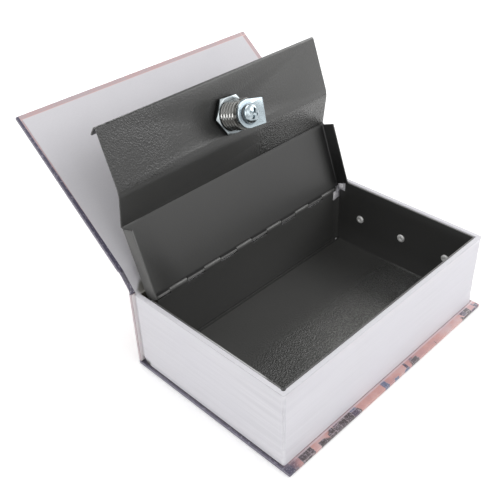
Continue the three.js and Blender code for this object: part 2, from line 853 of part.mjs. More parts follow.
// Plug with its keyway, wafer slots, square tail and screw hole, and the wafers and springs in it
function makePlug(frame, faceLow, tailEnd) {
  const faceTop = faceLow + plugFaceHeight;
  const bodyLow = -barrelDepth;
  const waferStart = faceLow - waferFromFace;
  const tail = boxSolid(
    [-tailSide / 2, -tailSide / 2, tailEnd + turnedGap],
    [tailSide / 2, tailSide / 2, bodyLow + overrun],
  );
  const keywayEnd = waferStart - wafers * waferPitch;
  const keyway = boxSolid(
    [-keywayWidth / 2, -keywayHeight / 2, keywayEnd],
    [keywayWidth / 2, keywayHeight / 2, faceTop + overrun],
  );
  const tapped = solidOf(
    post(screwRadius + fitGap, tailEnd - overrun, tailEnd + screwLength + fitGap, smallSides),
  );
  let plug = solidOf(post(plugRadius, bodyLow, faceLow + overrun / 2))
    .add(solidOf(post(plugFaceRadius, faceLow, faceTop)))
    .add(tail)
    .subtract(keyway)
    .subtract(tapped);
  const slotHalf = waferWidth / 2 + waferSlotGap;
  for (let i = 0; i < wafers; i += 1) {
    const top = waferStart - i * waferPitch;
    const low = top - waferThickness;
    const slot = boxSolid(
      [-slotHalf, -plugRadius - overrun, low - waferSlotGap],
      [slotHalf, plugRadius + overrun, top + waferSlotGap],
    );
    plug = plug.subtract(slot);
    const window = boxSolid(
      [-waferWindowWidth / 2, -waferWindowHeight / 2, low - overrun],
      [waferWindowWidth / 2, waferWindowHeight / 2, top + overrun],
    );
    const pocket = boxSolid(
      [waferWidth / 2 - springPocketWidth + springRadius, -waferHeight, low - overrun],
      [waferWidth, -waferHeight / 2 + springPocketHeight, top + overrun],
    );
    const wafer = boxSolid(
      [-waferWidth / 2, -waferHeight / 2, low],
      [waferWidth / 2, waferHeight / 2, top],
    );
    piece(frame, `wafer_${i + 1}`, wafer.subtract(window).subtract(pocket), brass());
    const springTop = -waferHeight / 2 + springPocketHeight - turnedGap;
    const spring = post(waferThickness / 2, -springTop, waferHeight / 2, smallSides / 2)
      .rotateX(Math.PI / 2)
      .translate(waferWidth / 2 - springRadius, 0, (low + top) / 2);
    piece(frame, `wafer_spring_${i + 1}`, spring, plainSteel());
  }
  piece(frame, "lock_plug", plug, darkNickel());
}

makeBackCover();
makeSpine();
makeFrontCover();
makePageBlock();
makeTray();
makePin();
makeRivets();
makeStrike();
makeLid();

export default book;
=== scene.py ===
"""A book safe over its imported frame: printed boards, a page block, a steel tray and its lid.

Sizes are in millimetres in the page block's frame, whose origin is the block's low fore corner at the head
of the book. X runs along the spine and +Y points to the spine. The bench turns them into metres.
"""

import logging
import math
from dataclasses import dataclass
from enum import Enum
from typing import Any, Callable, Mapping, Sequence

import bmesh
import bpy
from mathutils import Matrix, Vector


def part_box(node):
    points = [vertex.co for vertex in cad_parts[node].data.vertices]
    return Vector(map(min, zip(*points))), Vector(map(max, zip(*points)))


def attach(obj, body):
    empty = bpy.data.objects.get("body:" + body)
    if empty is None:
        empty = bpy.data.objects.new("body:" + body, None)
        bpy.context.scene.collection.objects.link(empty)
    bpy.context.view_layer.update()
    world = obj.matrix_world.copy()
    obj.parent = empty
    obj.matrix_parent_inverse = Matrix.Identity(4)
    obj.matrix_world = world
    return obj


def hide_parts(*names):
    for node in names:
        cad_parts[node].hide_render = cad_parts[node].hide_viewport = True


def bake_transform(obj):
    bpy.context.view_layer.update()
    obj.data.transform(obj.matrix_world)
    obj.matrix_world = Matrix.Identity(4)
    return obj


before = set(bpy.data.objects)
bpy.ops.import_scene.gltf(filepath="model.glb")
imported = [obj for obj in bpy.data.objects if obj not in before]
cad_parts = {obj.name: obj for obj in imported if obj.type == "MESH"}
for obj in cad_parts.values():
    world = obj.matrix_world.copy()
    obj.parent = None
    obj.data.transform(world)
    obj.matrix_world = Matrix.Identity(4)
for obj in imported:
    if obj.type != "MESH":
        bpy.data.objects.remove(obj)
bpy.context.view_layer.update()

LOG = logging.getLogger("book_safe")
MM = 0.001
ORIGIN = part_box("page_block")[0] / MM
TINY = 1e-6
RIGID_ANGLE = 35.0
CLOTH_ANGLE = 50.0

Material = bpy.types.Material
Pair = tuple[float, float]
Triple = tuple[float, float, float]
Point = Sequence[float]
Test = Callable[[Vector, Vector], bool]


class Pick(Enum):
    """What a selection on the bench is made of."""

    POINTS = "VERT"
    EDGES = "EDGE"
    FACES = "FACE"


class Axis(Enum):
    """An axis of the book's frame."""

    X = (1.0, 0.0, 0.0)
    Y = (0.0, 1.0, 0.0)
    Z = (0.0, 0.0, 1.0)


class Body(Enum):
    """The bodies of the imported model."""

    CASE = "case"
    JOINT = "cover_joint"
    COVER = "front_cover"
    LID = "lid"
    PLUG = "lock_plug"


def place(point: Point) -> Vector:
    """Turns a point of the block's frame, in millimetres, into metres in the row frame."""
    return (Vector(point) + ORIGIN) * MM


def reach(step: Point) -> Vector:
    """Turns a step in millimetres into metres."""
    return Vector(step) * MM


def around(centre: Point, radius: float, angle: float) -> Pair:
    """Gives the point of a circle in the YZ plane at an angle in degrees."""
    turn = math.radians(angle)
    return centre[0] + radius * math.cos(turn), centre[1] + radius * math.sin(turn)


def within(spans: Sequence[Pair], x: float) -> bool:
    """Says whether x is inside one of the spans."""
    return any(start < x < end for start, end in spans)


def wear(piece: bpy.types.Object, material: Material) -> None:
    """Gives an object one material in place of what it had."""
    piece.data.materials.clear()
    piece.data.materials.append(material)


@dataclass(frozen=True)
class Fold:
    """A bend between two bodies."""

    first: Body
    second: Body
    start: Point
    end: Point

    def bend(self, piece: bpy.types.Object) -> None:
        """Bakes the piece's transform into its mesh; nothing more is set for the fold."""
        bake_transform(piece)


class Bench:
    """One piece on the modelling bench. Lengths are millimetres in the block's frame."""

    def __init__(self, name: str) -> None:
        """Takes the primitive that was added last and names it.

        Args:
            name: the piece's name.
        """
        self.piece = bpy.context.object
        self.piece.name = name
        self.piece.data.name = name
        bpy.ops.object.transform_apply(location=True, rotation=True, scale=True)
        bpy.ops.object.mode_set(mode="EDIT")

    @staticmethod
    def sweep() -> None:
        """Leaves edit mode and deselects everything."""
        if bpy.context.object and bpy.context.object.mode != "OBJECT":
            bpy.ops.object.mode_set(mode="OBJECT")
        bpy.ops.object.select_all(action="DESELECT")

    @classmethod
    def block(cls, name: str, low: Point, high: Point) -> "Bench":
        """Adds a block between two corners, or a flat rectangle where they have one height.

        Args:
            name: the piece's name.
            low: its lowest corner.
            high: its highest corner.

        Returns:
            The bench with the block on it.
        """
        cls.sweep()
        size = reach(Vector(high) - Vector(low))
        middle = place((Vector(high) + Vector(low)) / 2)
        if size.z:
            bpy.ops.mesh.primitive_cube_add(size=1, location=middle, scale=size)
        else:
            bpy.ops.mesh.primitive_plane_add(size=1, location=middle)
            bpy.context.object.scale = (size.x, size.y, 1)
        return cls(name)

    @classmethod
    def post(cls, name: str, centre: Point, radius: float, height: float, sides: int) -> "Bench":
        """Adds a round or many-sided post along Z.

        Args:
            name: the piece's name.
            centre: the post's middle.
            radius: from its axis to its corners.
            height: how tall it is.
            sides: how many sides it has.

        Returns:
            The bench with the post on it.
        """
        cls.sweep()
        bpy.ops.mesh.primitive_cylinder_add(
            vertices=sides, radius=radius * MM, depth=height * MM, location=place(centre)
        )
        return cls(name)

    @classmethod
    def chain(cls, name: str, points: Sequence[Point]) -> "Bench":
        """Draws a line of edges from point to point.

        Args:
            name: the piece's name.
            points: the corners of the line, in order.

        Returns:
            The bench with the line on it.
        """
        cls.sweep()
        bpy.ops.mesh.primitive_plane_add(size=MM, location=place(points[0]))
        bench = cls(name)
        bpy.ops.mesh.merge(type="CENTER")
        bench.select_all(Pick.POINTS)
        for start, end in zip(points, points[1:]):
            bench.extrude(Vector(end) - Vector(start))
        return bench

    @classmethod
    def lathed(cls, name: str, centre: Point, profile: Sequence[Point], sides: int) -> "Bench":
        """Turns a profile about a Z axis.

        Args:
            name: the piece's name.
            centre: a point on the axis, from which heights count.
            profile: pairs of radius and height. It starts and ends on the axis.
            sides: the number of steps in the turn.

        Returns:
            The bench with a closed round piece on it.
        """
        middle = Vector(centre)
        bench = cls.chain(name, [middle + Vector((r, 0, z)) for r, z in profile])
        return bench.select_all(Pick.POINTS).spin(middle, Axis.Z, 360, sides).tidy()

    def select_all(self, what: Pick = Pick.FACES) -> "Bench":
        """Selects the whole piece."""
        bpy.ops.mesh.select_mode(type=what.value)
        bpy.ops.mesh.select_all(action="SELECT")
        return self

    def select(self, what: Pick, test: Test) -> "Bench":
        """Selects by place and direction.

        Args:
            what: points, edges or faces.
            test: gets an element's middle in millimetres, and a point's or face's normal or an
                edge's direction, and says whether it is selected.

        Returns:
            The same bench.
        """
        bpy.ops.mesh.select_mode(type=what.value)
        bpy.ops.mesh.select_all(action="DESELECT")
        mesh = bmesh.from_edit_mesh(self.piece.data)
        if what is Pick.POINTS:
            found = [(v, v.co, v.normal) for v in mesh.verts]
        elif what is Pick.EDGES:
            ends = [(e, e.verts[0].co, e.verts[1].co) for e in mesh.edges]
            found = [(e, (a + b) / 2, (b - a).normalized()) for e, a, b in ends]
        else:
            found = [(f, f.calc_center_median(), f.normal) for f in mesh.faces]
        for element, middle, direction in found:
            if test(middle / MM - ORIGIN, direction):
                element.select_set(True)
        mesh.select_flush_mode()
        bmesh.update_edit_mesh(self.piece.data)
        return self

    def extrude(self, step: Point) -> "Bench":
        """Extrudes the selection by a step."""
        bpy.ops.mesh.extrude_region_move(TRANSFORM_OT_translate={"value": reach(step)})
        return self

    def inset(self, width: float) -> "Bench":
        """Insets the selected faces."""
        bpy.ops.mesh.inset(thickness=width * MM)
        return self

    def bevel(self, width: float, steps: int = 3) -> "Bench":
        """Rounds the selected edges."""
        bpy.ops.mesh.bevel(offset=width * MM, segments=steps, affect="EDGES", clamp_overlap=True)
        return self

    def move(self, step: Point) -> "Bench":
        """Moves the selection."""
        bpy.ops.transform.translate(value=reach(step))
        return self

    def resize(self, scale: Point, centre: Point) -> "Bench":
        """Scales the selection about a point."""
        bpy.ops.transform.resize(value=scale, center_override=place(centre))
        return self

    def turn_all(self, centre: Point, axis: Axis, angle: float) -> "Bench":
        """Turns the whole piece.

        Args:
            centre: a point on the axis.
            axis: which way the axis runs.
            angle: how far, counter-clockwise in degrees.

        Returns:
            The same bench.
        """
        self.select_all(Pick.POINTS)
        bpy.ops.transform.rotate(
            value=-math.radians(angle),
            orient_axis=axis.name,
            orient_type="GLOBAL",
            center_override=place(centre),
        )
        return self

    def spin(self, centre: Point, axis: Axis, angle: float, steps: int) -> "Bench":
        """Sweeps the selection round an axis.

        Args:
            centre: a point on the axis.
            axis: which way the axis runs.
            angle: how far, counter-clockwise in degrees.
            steps: the number of steps on the way.

        Returns:
            The same bench.
        """
        bpy.ops.mesh.spin(
            steps=steps, angle=-math.radians(angle), center=place(centre), axis=axis.value
        )
        return self

    def cut(self, point: Point, normal: Point, clear: bool = False) -> "Bench":
        """Cuts the selected faces with a plane.

        Args:
            point: a point of the plane.
            normal: the plane's direction.
            clear: removes what lies on the normal's side, and closes the cut.

        Returns:
            The same bench.
        """
        bpy.ops.mesh.bisect(
            plane_co=place(point),
            plane_no=normal,
            use_fill=clear,
            clear_outer=clear,
            threshold=TINY,
        )
        return self

    def cut_all(self, point: Point, normal: Point, clear: bool = False) -> "Bench":
        """Cuts the whole piece with a plane."""
        return self.select_all().cut(point, normal, clear)

    def erase(self) -> "Bench":
        """Deletes the selected faces."""
        bpy.ops.mesh.delete(type=Pick.FACES.value)
        return self

    def merge(self, threshold: float = TINY) -> "Bench":
        """Merges points that lie within a threshold, in metres."""
        self.select_all(Pick.POINTS)
        bpy.ops.mesh.remove_doubles(threshold=threshold)
        return self

    def tidy(self) -> "Bench":
        """Merges doubles and turns every face outward."""
        self.merge()
        bpy.ops.mesh.normals_make_consistent(inside=False)
        return self

    def modify(self, kind: str, **settings: Any) -> "Bench":
        """Adds a modifier and applies it.

        Args:
            kind: the modifier's type.
            settings: its options.

        Returns:
            The same bench.
        """
        bpy.ops.object.mode_set(mode="OBJECT")
        modifier = self.piece.modifiers.new(kind.title(), kind)
        for key, value in settings.items():
            setattr(modifier, key, value)
        bpy.ops.object.modifier_apply(modifier=modifier.name)
        bpy.ops.object.mode_set(mode="EDIT")
        return self

    def thicken(self, thickness: float, side: float) -> "Bench":
        """Gives a sheet its thickness, on the side of its normals for a positive side."""
        depth = thickness * MM
        return self.modify("SOLIDIFY", thickness=depth, offset=side, use_even_offset=True)

    def soften(self, width: float, steps: int = 2, angle: float = 38) -> "Bench":
        """Rounds every sharp edge.

        Args:
            width: how wide the round is.
            steps: the number of steps across it.
            angle: edges sharper than this, in degrees, are rounded.

        Returns:
            The same bench.
        """
        return self.modify(
            "BEVEL",
            width=width * MM,
            segments=steps,
            limit_method="ANGLE",
            angle_limit=math.radians(angle),
            use_clamp_overlap=True,
        )

    def combine(self, other: "Bench", operation: str) -> "Bench":
        """Goes back to this piece and joins, cuts or trims it with another, which is used up.

        Args:
            other: the second piece.
            operation: UNION, DIFFERENCE or INTERSECT.

        Returns:
            The same bench.
        """
        tool = other.piece
        self.sweep()
        self.piece.select_set(True)
        bpy.context.view_layer.objects.active = self.piece
        self.modify("BOOLEAN", operation=operation, object=tool, solver="EXACT")
        bpy.data.objects.remove(tool)
        return self

    def copy(self, name: str) -> "Bench":
        """Gives a copy with its own mesh.

        Args:
            name: the copy's name.

        Returns:
            A bench with the copy on it.
        """
        self.sweep()
        twin = self.piece.copy()
        twin.data = self.piece.data.copy()
        bpy.context.scene.collection.objects.link(twin)
        bpy.context.view_layer.objects.active = twin
        twin.select_set(True)
        return Bench(name)

    def finish(self, material: Material, carrier: "Body | Fold", slot: str, *nodes: str) -> None:
        """Smooths and dresses the piece, sets it on its body or bakes it in place when it crosses a fold,
        and logs it.

        Args:
            material: what it is made of.
            carrier: the body that carries it, or the fold that it crosses.
            slot: the record's material slot; not used.
            nodes: the CAD nodes that it stands for.
        """
        rigid = isinstance(carrier, Body)
        bpy.ops.object.mode_set(mode="OBJECT")
        angle = math.radians(RIGID_ANGLE if rigid else CLOTH_ANGLE)
        bpy.ops.object.shade_smooth_by_angle(angle=angle)
        wear(self.piece, material)
        if rigid:
            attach(self.piece, carrier.value)
        else:
            carrier.bend(self.piece)
        if nodes:
            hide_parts(*nodes)
        self.sweep()
        LOG.info("%s: %d faces", self.piece.name, len(self.piece.data.polygons))


Value = Any


def math_node(operation: str, swapped: bool = False) -> Callable[..., "Signal"]:
    """Makes a method of a signal that adds one Math node.

    Args:
        operation: the node's operation.
        swapped: puts the other value first.

    Returns:
        The method.
    """

    def apply(signal: "Signal", *others: Value) -> "Signal":
        """Adds the node."""
        values = (*others, signal) if swapped else (signal, *others)
        return signal.desk.node("Math", {"operation": operation}, dict(enumerate(values)))

    return apply


class Signal:
    """A value of a material that adds its Math nodes when it is used in an expression."""

    __add__ = __radd__ = math_node("ADD")
    __sub__ = math_node("SUBTRACT")
    __rsub__ = math_node("SUBTRACT", swapped=True)
    __mul__ = __rmul__ = math_node("MULTIPLY")
    __truediv__ = math_node("DIVIDE")
    __pow__ = math_node("POWER")
    __lt__ = math_node("LESS_THAN")
    __gt__ = math_node("GREATER_THAN")
    __abs__ = math_node("ABSOLUTE")
    fraction = math_node("FRACT")
    most = math_node("MAXIMUM")
    least = math_node("MINIMUM")

    def __init__(self, desk: "Desk", socket: bpy.types.NodeSocket) -> None:
        """Wraps an output socket."""
        self.desk = desk
        self.socket = socket

    def spread(self, low: float, high: float, to_low: float = 0.0, to_high: float = 1.0) -> "Signal":
        """Maps a range smoothly onto another, and holds its ends.

        Args:
            low: where the range starts.
            high: where it ends.
            to_low: the value up to its start.
            to_high: the value from its end on.

        Returns:
            The mapped value.
        """
        return self.desk.node(
            "MapRange",
            {"interpolation_type": "SMOOTHSTEP"},
            {"Value": self, "From Min": low, "From Max": high, "To Min": to_low, "To Max": to_high},
        )

    def fade(self, low: float, high: float) -> "Signal":
        """Is 1 up to low and 0 from high on."""
        return self.spread(low, high, 1.0, 0.0)


class Desk:
    """The node tree of a material, or of the world."""

    def __init__(self, owner: Material | bpy.types.World, shader: str = "Principled BSDF") -> None:
        """Takes a new owner's tree, which holds one bare shader.

        Args:
            owner: the material, or the world.
            shader: the shader's name.
        """
        owner.use_nodes = True
        self.owner = owner
        self.tree = owner.node_tree
        self.shader = self.tree.nodes[shader]

    @classmethod
    def material(cls, name: str) -> "Desk":
        """Starts a material."""
        return cls(bpy.data.materials.new(name))

    def node(
        self, kind: str, settings: Mapping[str, Any], inputs: Mapping[Any, Value], out: Any = 0
    ) -> Signal:
        """Adds a node.

        Args:
            kind: the node's type, without the words that all types start with.
            settings: its options, set first. A ramp's stops are pairs of place and colour.
            inputs: values or links, by socket name or number.
            out: the name or number of the output that is wanted.

        Returns:
            The wanted output.
        """
        made = self.tree.nodes.new(f"ShaderNode{kind}")
        for key, value in settings.items():
            if key == "stops":
                self._stops(made.color_ramp, value)
            else:
                setattr(made, key, value)
        for key, value in inputs.items():
            if isinstance(value, Signal):
                self.tree.links.new(value.socket, made.inputs[key])
            else:
                made.inputs[key].default_value = value
        return Signal(self, made.outputs[out])

    @staticmethod
    def _stops(ramp: bpy.types.ColorRamp, stops: Sequence[tuple[float, Point]]) -> None:
        """Sets a ramp's stops.

        Args:
            ramp: the ramp.
            stops: pairs of place and colour.
        """
        while len(ramp.elements) < len(stops):
            ramp.elements.new(1.0)
        for element, (where, colour) in zip(ramp.elements, stops):
            element.position = where
            element.color = (*colour, 1.0)

    def ramp(self, value: Signal, stops: Sequence[tuple[float, Point]], steps: bool = False) -> Signal:
        """Turns a value into colours.

        Args:
            value: the value, from 0 to 1.
            stops: pairs of place and colour.
            steps: leaves the colours flat between the stops.

        Returns:
            The colour.
        """
        made = self.node("ValToRGB", {"stops": stops}, {0: value})
        made.socket.node.color_ramp.interpolation = "CONSTANT" if steps else "LINEAR"
        return made

    def vector(self, operation: str, first: Signal, second: Value, key: Any = 1) -> Signal:
        """Adds one Vector Math node, whose second input has a key."""
        return self.node("VectorMath", {"operation": operation}, {0: first, key: second})

    def coordinates(self, origin: Point = (0, 0, 0), tilt: float = 0.0) -> Signal:
        """Gives Object coordinates in millimetres from a point, turned flat.

        Args:
            origin: a point of the block's frame.
            tilt: how far the piece leans about X, in degrees.

        Returns:
            The vector.
        """
        raw = self.node("TexCoord", {}, {}, "Object")
        turned = self.node(
            "Mapping",
            {"vector_type": "POINT"},
            {
                "Vector": self.vector("SUBTRACT", raw, place(origin)),
                "Rotation": (-math.radians(tilt), 0, 0),
            },
        )
        return self.vector("SCALE", turned, 1 / MM, "Scale")

    def axes(self, vector: Signal) -> tuple[Signal, ...]:
        """Splits a vector into its three axes."""
        first = self.node("SeparateXYZ", {}, {0: vector})
        return tuple(Signal(self, output) for output in first.socket.node.outputs)

    def stretch(self, vector: Signal, scale: Point) -> Signal:
        """Scales a vector along its axes."""
        return self.vector("MULTIPLY", vector, scale)

    def noise(self, vector: Signal, size: float, detail: float = 2.0, rough: float = 0.5) -> Signal:
        """Gives noise from 0 to 1.

        Args:
            vector: the coordinates.
            size: about how many millimetres a lump is across.
            detail: how many finer layers are laid over it.
            rough: how strong the finer layers are.

        Returns:
            The noise.
        """
        inputs = {"Vector": vector, "Scale": 1 / size, "Detail": detail, "Roughness": rough}
        return self.node("TexNoise", {}, inputs)

    def dimples(self, vector: Signal, size: float, soft: float) -> Signal:
        """Gives soft round pits of about size millimetres, which are 0 at their middle."""
        inputs = {"Vector": vector, "Scale": 1 / size, "Smoothness": soft}
        return self.node("TexVoronoi", {"feature": "SMOOTH_F1"}, inputs)

    def stripes(self, value: Signal, size: float, out: str, feature: str = "F1") -> Signal:
        """Gives bands of uneven width along one axis.

        Args:
            value: the place along the axis.
            size: about how many millimetres a band is wide.
            out: the name of the output that is wanted.
            feature: what is measured: F1, or DISTANCE_TO_EDGE.

        Returns:
            The wanted output.
        """
        settings = {"voronoi_dimensions": "1D", "feature": feature}
        return self.node("TexVoronoi", settings, {"W": value, "Scale": 1 / size}, out)

    def mix(self, share: Value, first: Value, second: Value, blend: str = "MIX") -> Signal:
        """Mixes two colours.

        Args:
            share: how much of the second there is.
            first: the first colour, a link or three numbers.
            second: the second colour.
            blend: the way they are mixed.

        Returns:
            The mixed colour.
        """
        colours = [(*c, 1.0) if isinstance(c, tuple) and len(c) == 3 else c for c in (first, second)]
        settings = {"data_type": "RGBA", "blend_type": blend}
        return self.node("Mix", settings, {0: share, 6: colours[0], 7: colours[1]}, 2)

    def bump(self, height: Signal, depth: float, strength: float = 1.0) -> Signal:
        """Turns a height from 0 to 1 into relief of depth millimetres."""
        inputs = {"Height": height, "Distance": depth * MM, "Strength": strength}
        return self.node("Bump", {}, inputs)

    def seen(self) -> Signal:
        """Is 1 where the camera, a reflection or glass looks straight at the surface."""
        outputs = self.node("LightPath", {}, {}).socket.node.outputs
        rays = [Signal(self, outputs[f"Is {kind} Ray"]) for kind in ("Camera", "Glossy", "Transmission")]
        return rays[0].most(rays[1]).most(rays[2])

    def set(self, **values: Value) -> Material:
        """Sets the shader's sockets.

        Args:
            values: values or links, by socket name, with its spaces written as underscores.

        Returns:
            The finished material.
        """
        for key, value in values.items():
            socket = self.shader.inputs[key.replace("_", " ")]
            if isinstance(value, Signal):
                self.tree.links.new(value.socket, socket)
            elif isinstance(value, tuple) and len(value) == 3:
                socket.default_value = (*value, 1.0)
            else:
                socket.default_value = value
        return self.owner


@dataclass(frozen=True)
class HammeredEnamel:
    """Dark stoving enamel with a fine hammered skin, on steel sheet; the hinge tube is painted lighter,
    partly wear and partly a painted highlight.
    """

    name: str = "hammered_enamel"
    colour: Triple = (0.040, 0.040, 0.0385)
    deep: Triple = (0.026, 0.026, 0.0255)
    pale: Triple = (0.062, 0.062, 0.060)
    shade: Triple = (0.009, 0.009, 0.009)
    # worn: the hinge tube's colour, partly wear and partly a painted highlight
    worn: Triple = (0.115, 0.115, 0.112)
    hinge: Pair = (107.0, 44.2)
    tube: float = 1.66
    tube_start: float = 10.5
    highlight_along: Pair = (70.0, 120.0)
    slot: float = 2.1
    groove_shade: float = 0.0
    dimple: float = 0.95
    grain: float = 0.45
    cloud: float = 34.0
    patch: float = 60.0
    depth: float = 0.36
    roughness: float = 0.25

    def make(self) -> Material:
        """Builds the material.

        Returns:
            The finished material.
        """
        desk = Desk.material(self.name)
        where = desk.coordinates()
        along, across, level = desk.axes(where)
        dimples = desk.dimples(where, self.dimple, 0.5)
        fine = desk.noise(where, self.grain, 2.0, 0.6)
        drift = desk.noise(where, self.dimple * 2, 1.0)
        broad = desk.noise(where, self.cloud, 2.0)
        zone = self._zone(desk, where) * broad.spread(0.25, 0.6, 0.7, 1.15)
        pits = dimples.spread(0.1, 0.7) * zone + (1.0 - zone) * 0.7
        skin = desk.mix(pits, self.deep, self.colour)
        flecks = fine.spread(0.6, 0.7) * dimples.spread(0.3, 0.6) * zone * 0.5
        tone = self._tone(desk, where, desk.mix(flecks, skin, self.pale))
        out, up = across - self.hinge[0], level - self.hinge[1]
        away = (out * out + up * up) ** 0.5
        # painted shade in the gap between the hinge tube and the edge of its slot
        groove_shade = away.spread(self.tube, self.tube + 0.1) * away.fade(self.slot, self.slot + 0.1)
        groove_shaded = desk.mix(groove_shade * self.groove_shade, tone, self.shade)
        # the hinge tube is painted lighter, partly wear and partly a painted highlight, fading toward the
        # tail
        rubbed = away.fade(self.tube - 0.02, self.tube + 0.04)
        rubbed = rubbed * along.spread(self.tube_start, self.tube_start + 2)
        rubbed = rubbed * along.spread(*self.highlight_along, 1.0, 0.62)
        rough = broad * 0.1 + fine * 0.1 + (1.0 - zone) * 0.2
        return desk.set(
            Base_Color=desk.mix(rubbed * fine.spread(0.25, 0.6, 0.45, 1.0), groove_shaded, self.worn),
            Roughness=rough + self._dullness(desk, where) + (self.roughness - 0.1),
            Normal=desk.bump((dimples * 0.62 + fine * 0.3 + drift * 0.35) * zone, self.depth),
            Specular_IOR_Level=0.5,
            Coat_Weight=0.08,
            Coat_Roughness=0.2,
        )

    def _zone(self, desk: Desk, where: Signal) -> Signal:
        """Gives how strongly the skin is hammered."""
        return desk.noise(where, self.patch, 1.0).spread(0.2, 0.8, 0.3, 0.7)

    def _tone(self, desk: Desk, where: Signal, skin: Signal) -> Signal:
        """Gives the skin its painted light and shade; the plain enamel has none."""
        return skin

    def _dullness(self, desk: Desk, where: Signal) -> Value:
        """Gives the roughness that dull places have on top."""
        return 0.0


@dataclass(frozen=True)
class TrayEnamel(HammeredEnamel):
    """The tray's enamel: smooth on the walls, hammered on the floor toward the fore edge, with painted
    light, sheen, glints and shade.
    """

    name: str = "tray_enamel"
    glow: Triple = (5.4, 5.4, 5.3)
    edge: Triple = (0.11, 0.11, 0.107)
    shine: Triple = (0.42, 0.42, 0.42)
    floor: float = 4.0
    wall: float = 105.2
    tail: float = 171.9
    rim: float = 49.95
    hammered_across: Pair = (38.0, 78.0)
    lit_along: Pair = (40.0, 140.0)
    corner_along: Pair = (168.5, 170.5)
    foot_level: Pair = (6.0, 22.0)
    sheen_across: Pair = (28.0, 80.0)
    sheen_head: Pair = (40.0, 96.0)
    sheen_tail: Pair = (118.0, 150.0)
    bend_across: Pair = (103.4, 103.9)
    bend_level: Pair = (3.6, 4.2)
    glint_level: Pair = (2.3, 2.75)
    glint_fore: Pair = (12.0, 20.0)
    glint_spine: Pair = (60.0, 75.0)
    head_wall: float = 4.4
    shine_fore: Pair = (12.0, 18.0)
    shine_spine: Pair = (56.0, 70.0)

    def _floor(self, level: Signal) -> Signal:
        """Is 1 on the floor."""
        return level.fade(self.floor - 1, self.floor)

    def _zone(self, desk: Desk, where: Signal) -> Signal:
        """Gives how strongly the skin is hammered."""
        _, across, level = desk.axes(where)
        return self._floor(level) * across.spread(*self.hammered_across, 2.1, 0.1) + 0.07

    def _tone(self, desk: Desk, where: Signal, skin: Signal) -> Signal:
        """Paints light and shade onto the skin's faces.

        Args:
            desk: the material being made.
            where: its coordinates.
            skin: its plain colour.

        Returns:
            The colour.
        """
        along, across, level = desk.axes(where)
        # painted light: the hinge wall, its corner at the tail and the foot of the tail wall are lighter
        hinge_wall = across.spread(self.wall, self.wall + 0.2)
        corner = along.spread(*self.corner_along) * hinge_wall
        tail = along.spread(self.tail, self.tail + 0.2)
        foot = tail * level.spread(*self.foot_level, 0.6, 0.0)
        lit = hinge_wall * along.spread(*self.lit_along, 0.12, 0.6) + corner * 0.35 + foot
        walled = desk.mix(lit, skin, self.pale)
        # painted sheen on the floor, strongest toward the fore edge and the middle; the whole floor is
        # lifted a little
        sheen = across.fade(*self.sheen_across) ** 1.4
        sheen = sheen * along.spread(*self.sheen_head, 0.2, 1.0) * along.fade(*self.sheen_tail)
        sheened = desk.mix((sheen + 0.12).least(1.0) * self._floor(level), walled, self.glow, "MULTIPLY")
        # painted shade over the bend between the hinge wall and the floor, and on the tail wall
        bent = desk.mix(self._bend(desk, where) * 0.6, sheened, self.shade)
        shaded = desk.mix(tail * 0.3, bent, self.shade)
        # a painted glint along the foot of the tail wall, where it meets the floor
        low, high = self.glint_level
        seam = level.spread(low, low + 0.2) * level.fade(high, high + 0.2)
        seam = seam * (along > self.tail) * across.spread(*self.glint_fore)
        seamed = desk.mix(seam * across.spread(*self.glint_spine, 0.8, 0.0), shaded, self.edge)
        # painted highlight on the head wall's top edge; all top edges are also lighter
        bright = (along < self.head_wall) * across.spread(*self.shine_fore)
        bright = bright * across.fade(*self.shine_spine)
        top = level.spread(self.rim - 0.1, self.rim)
        edged = desk.mix(top * 0.7, seamed, self.edge)
        return desk.mix(top * bright, edged, self.shine)

    def _dullness(self, desk: Desk, where: Signal) -> Value:
        """Gives the roughness that dull places have on top."""
        return self._bend(desk, where) * 0.5

    def _bend(self, desk: Desk, where: Signal) -> Signal:
        """Finds the bend between the hinge wall and the floor."""
        _, across, level = desk.axes(where)
        return across.spread(*self.bend_across) * level.fade(*self.bend_level)


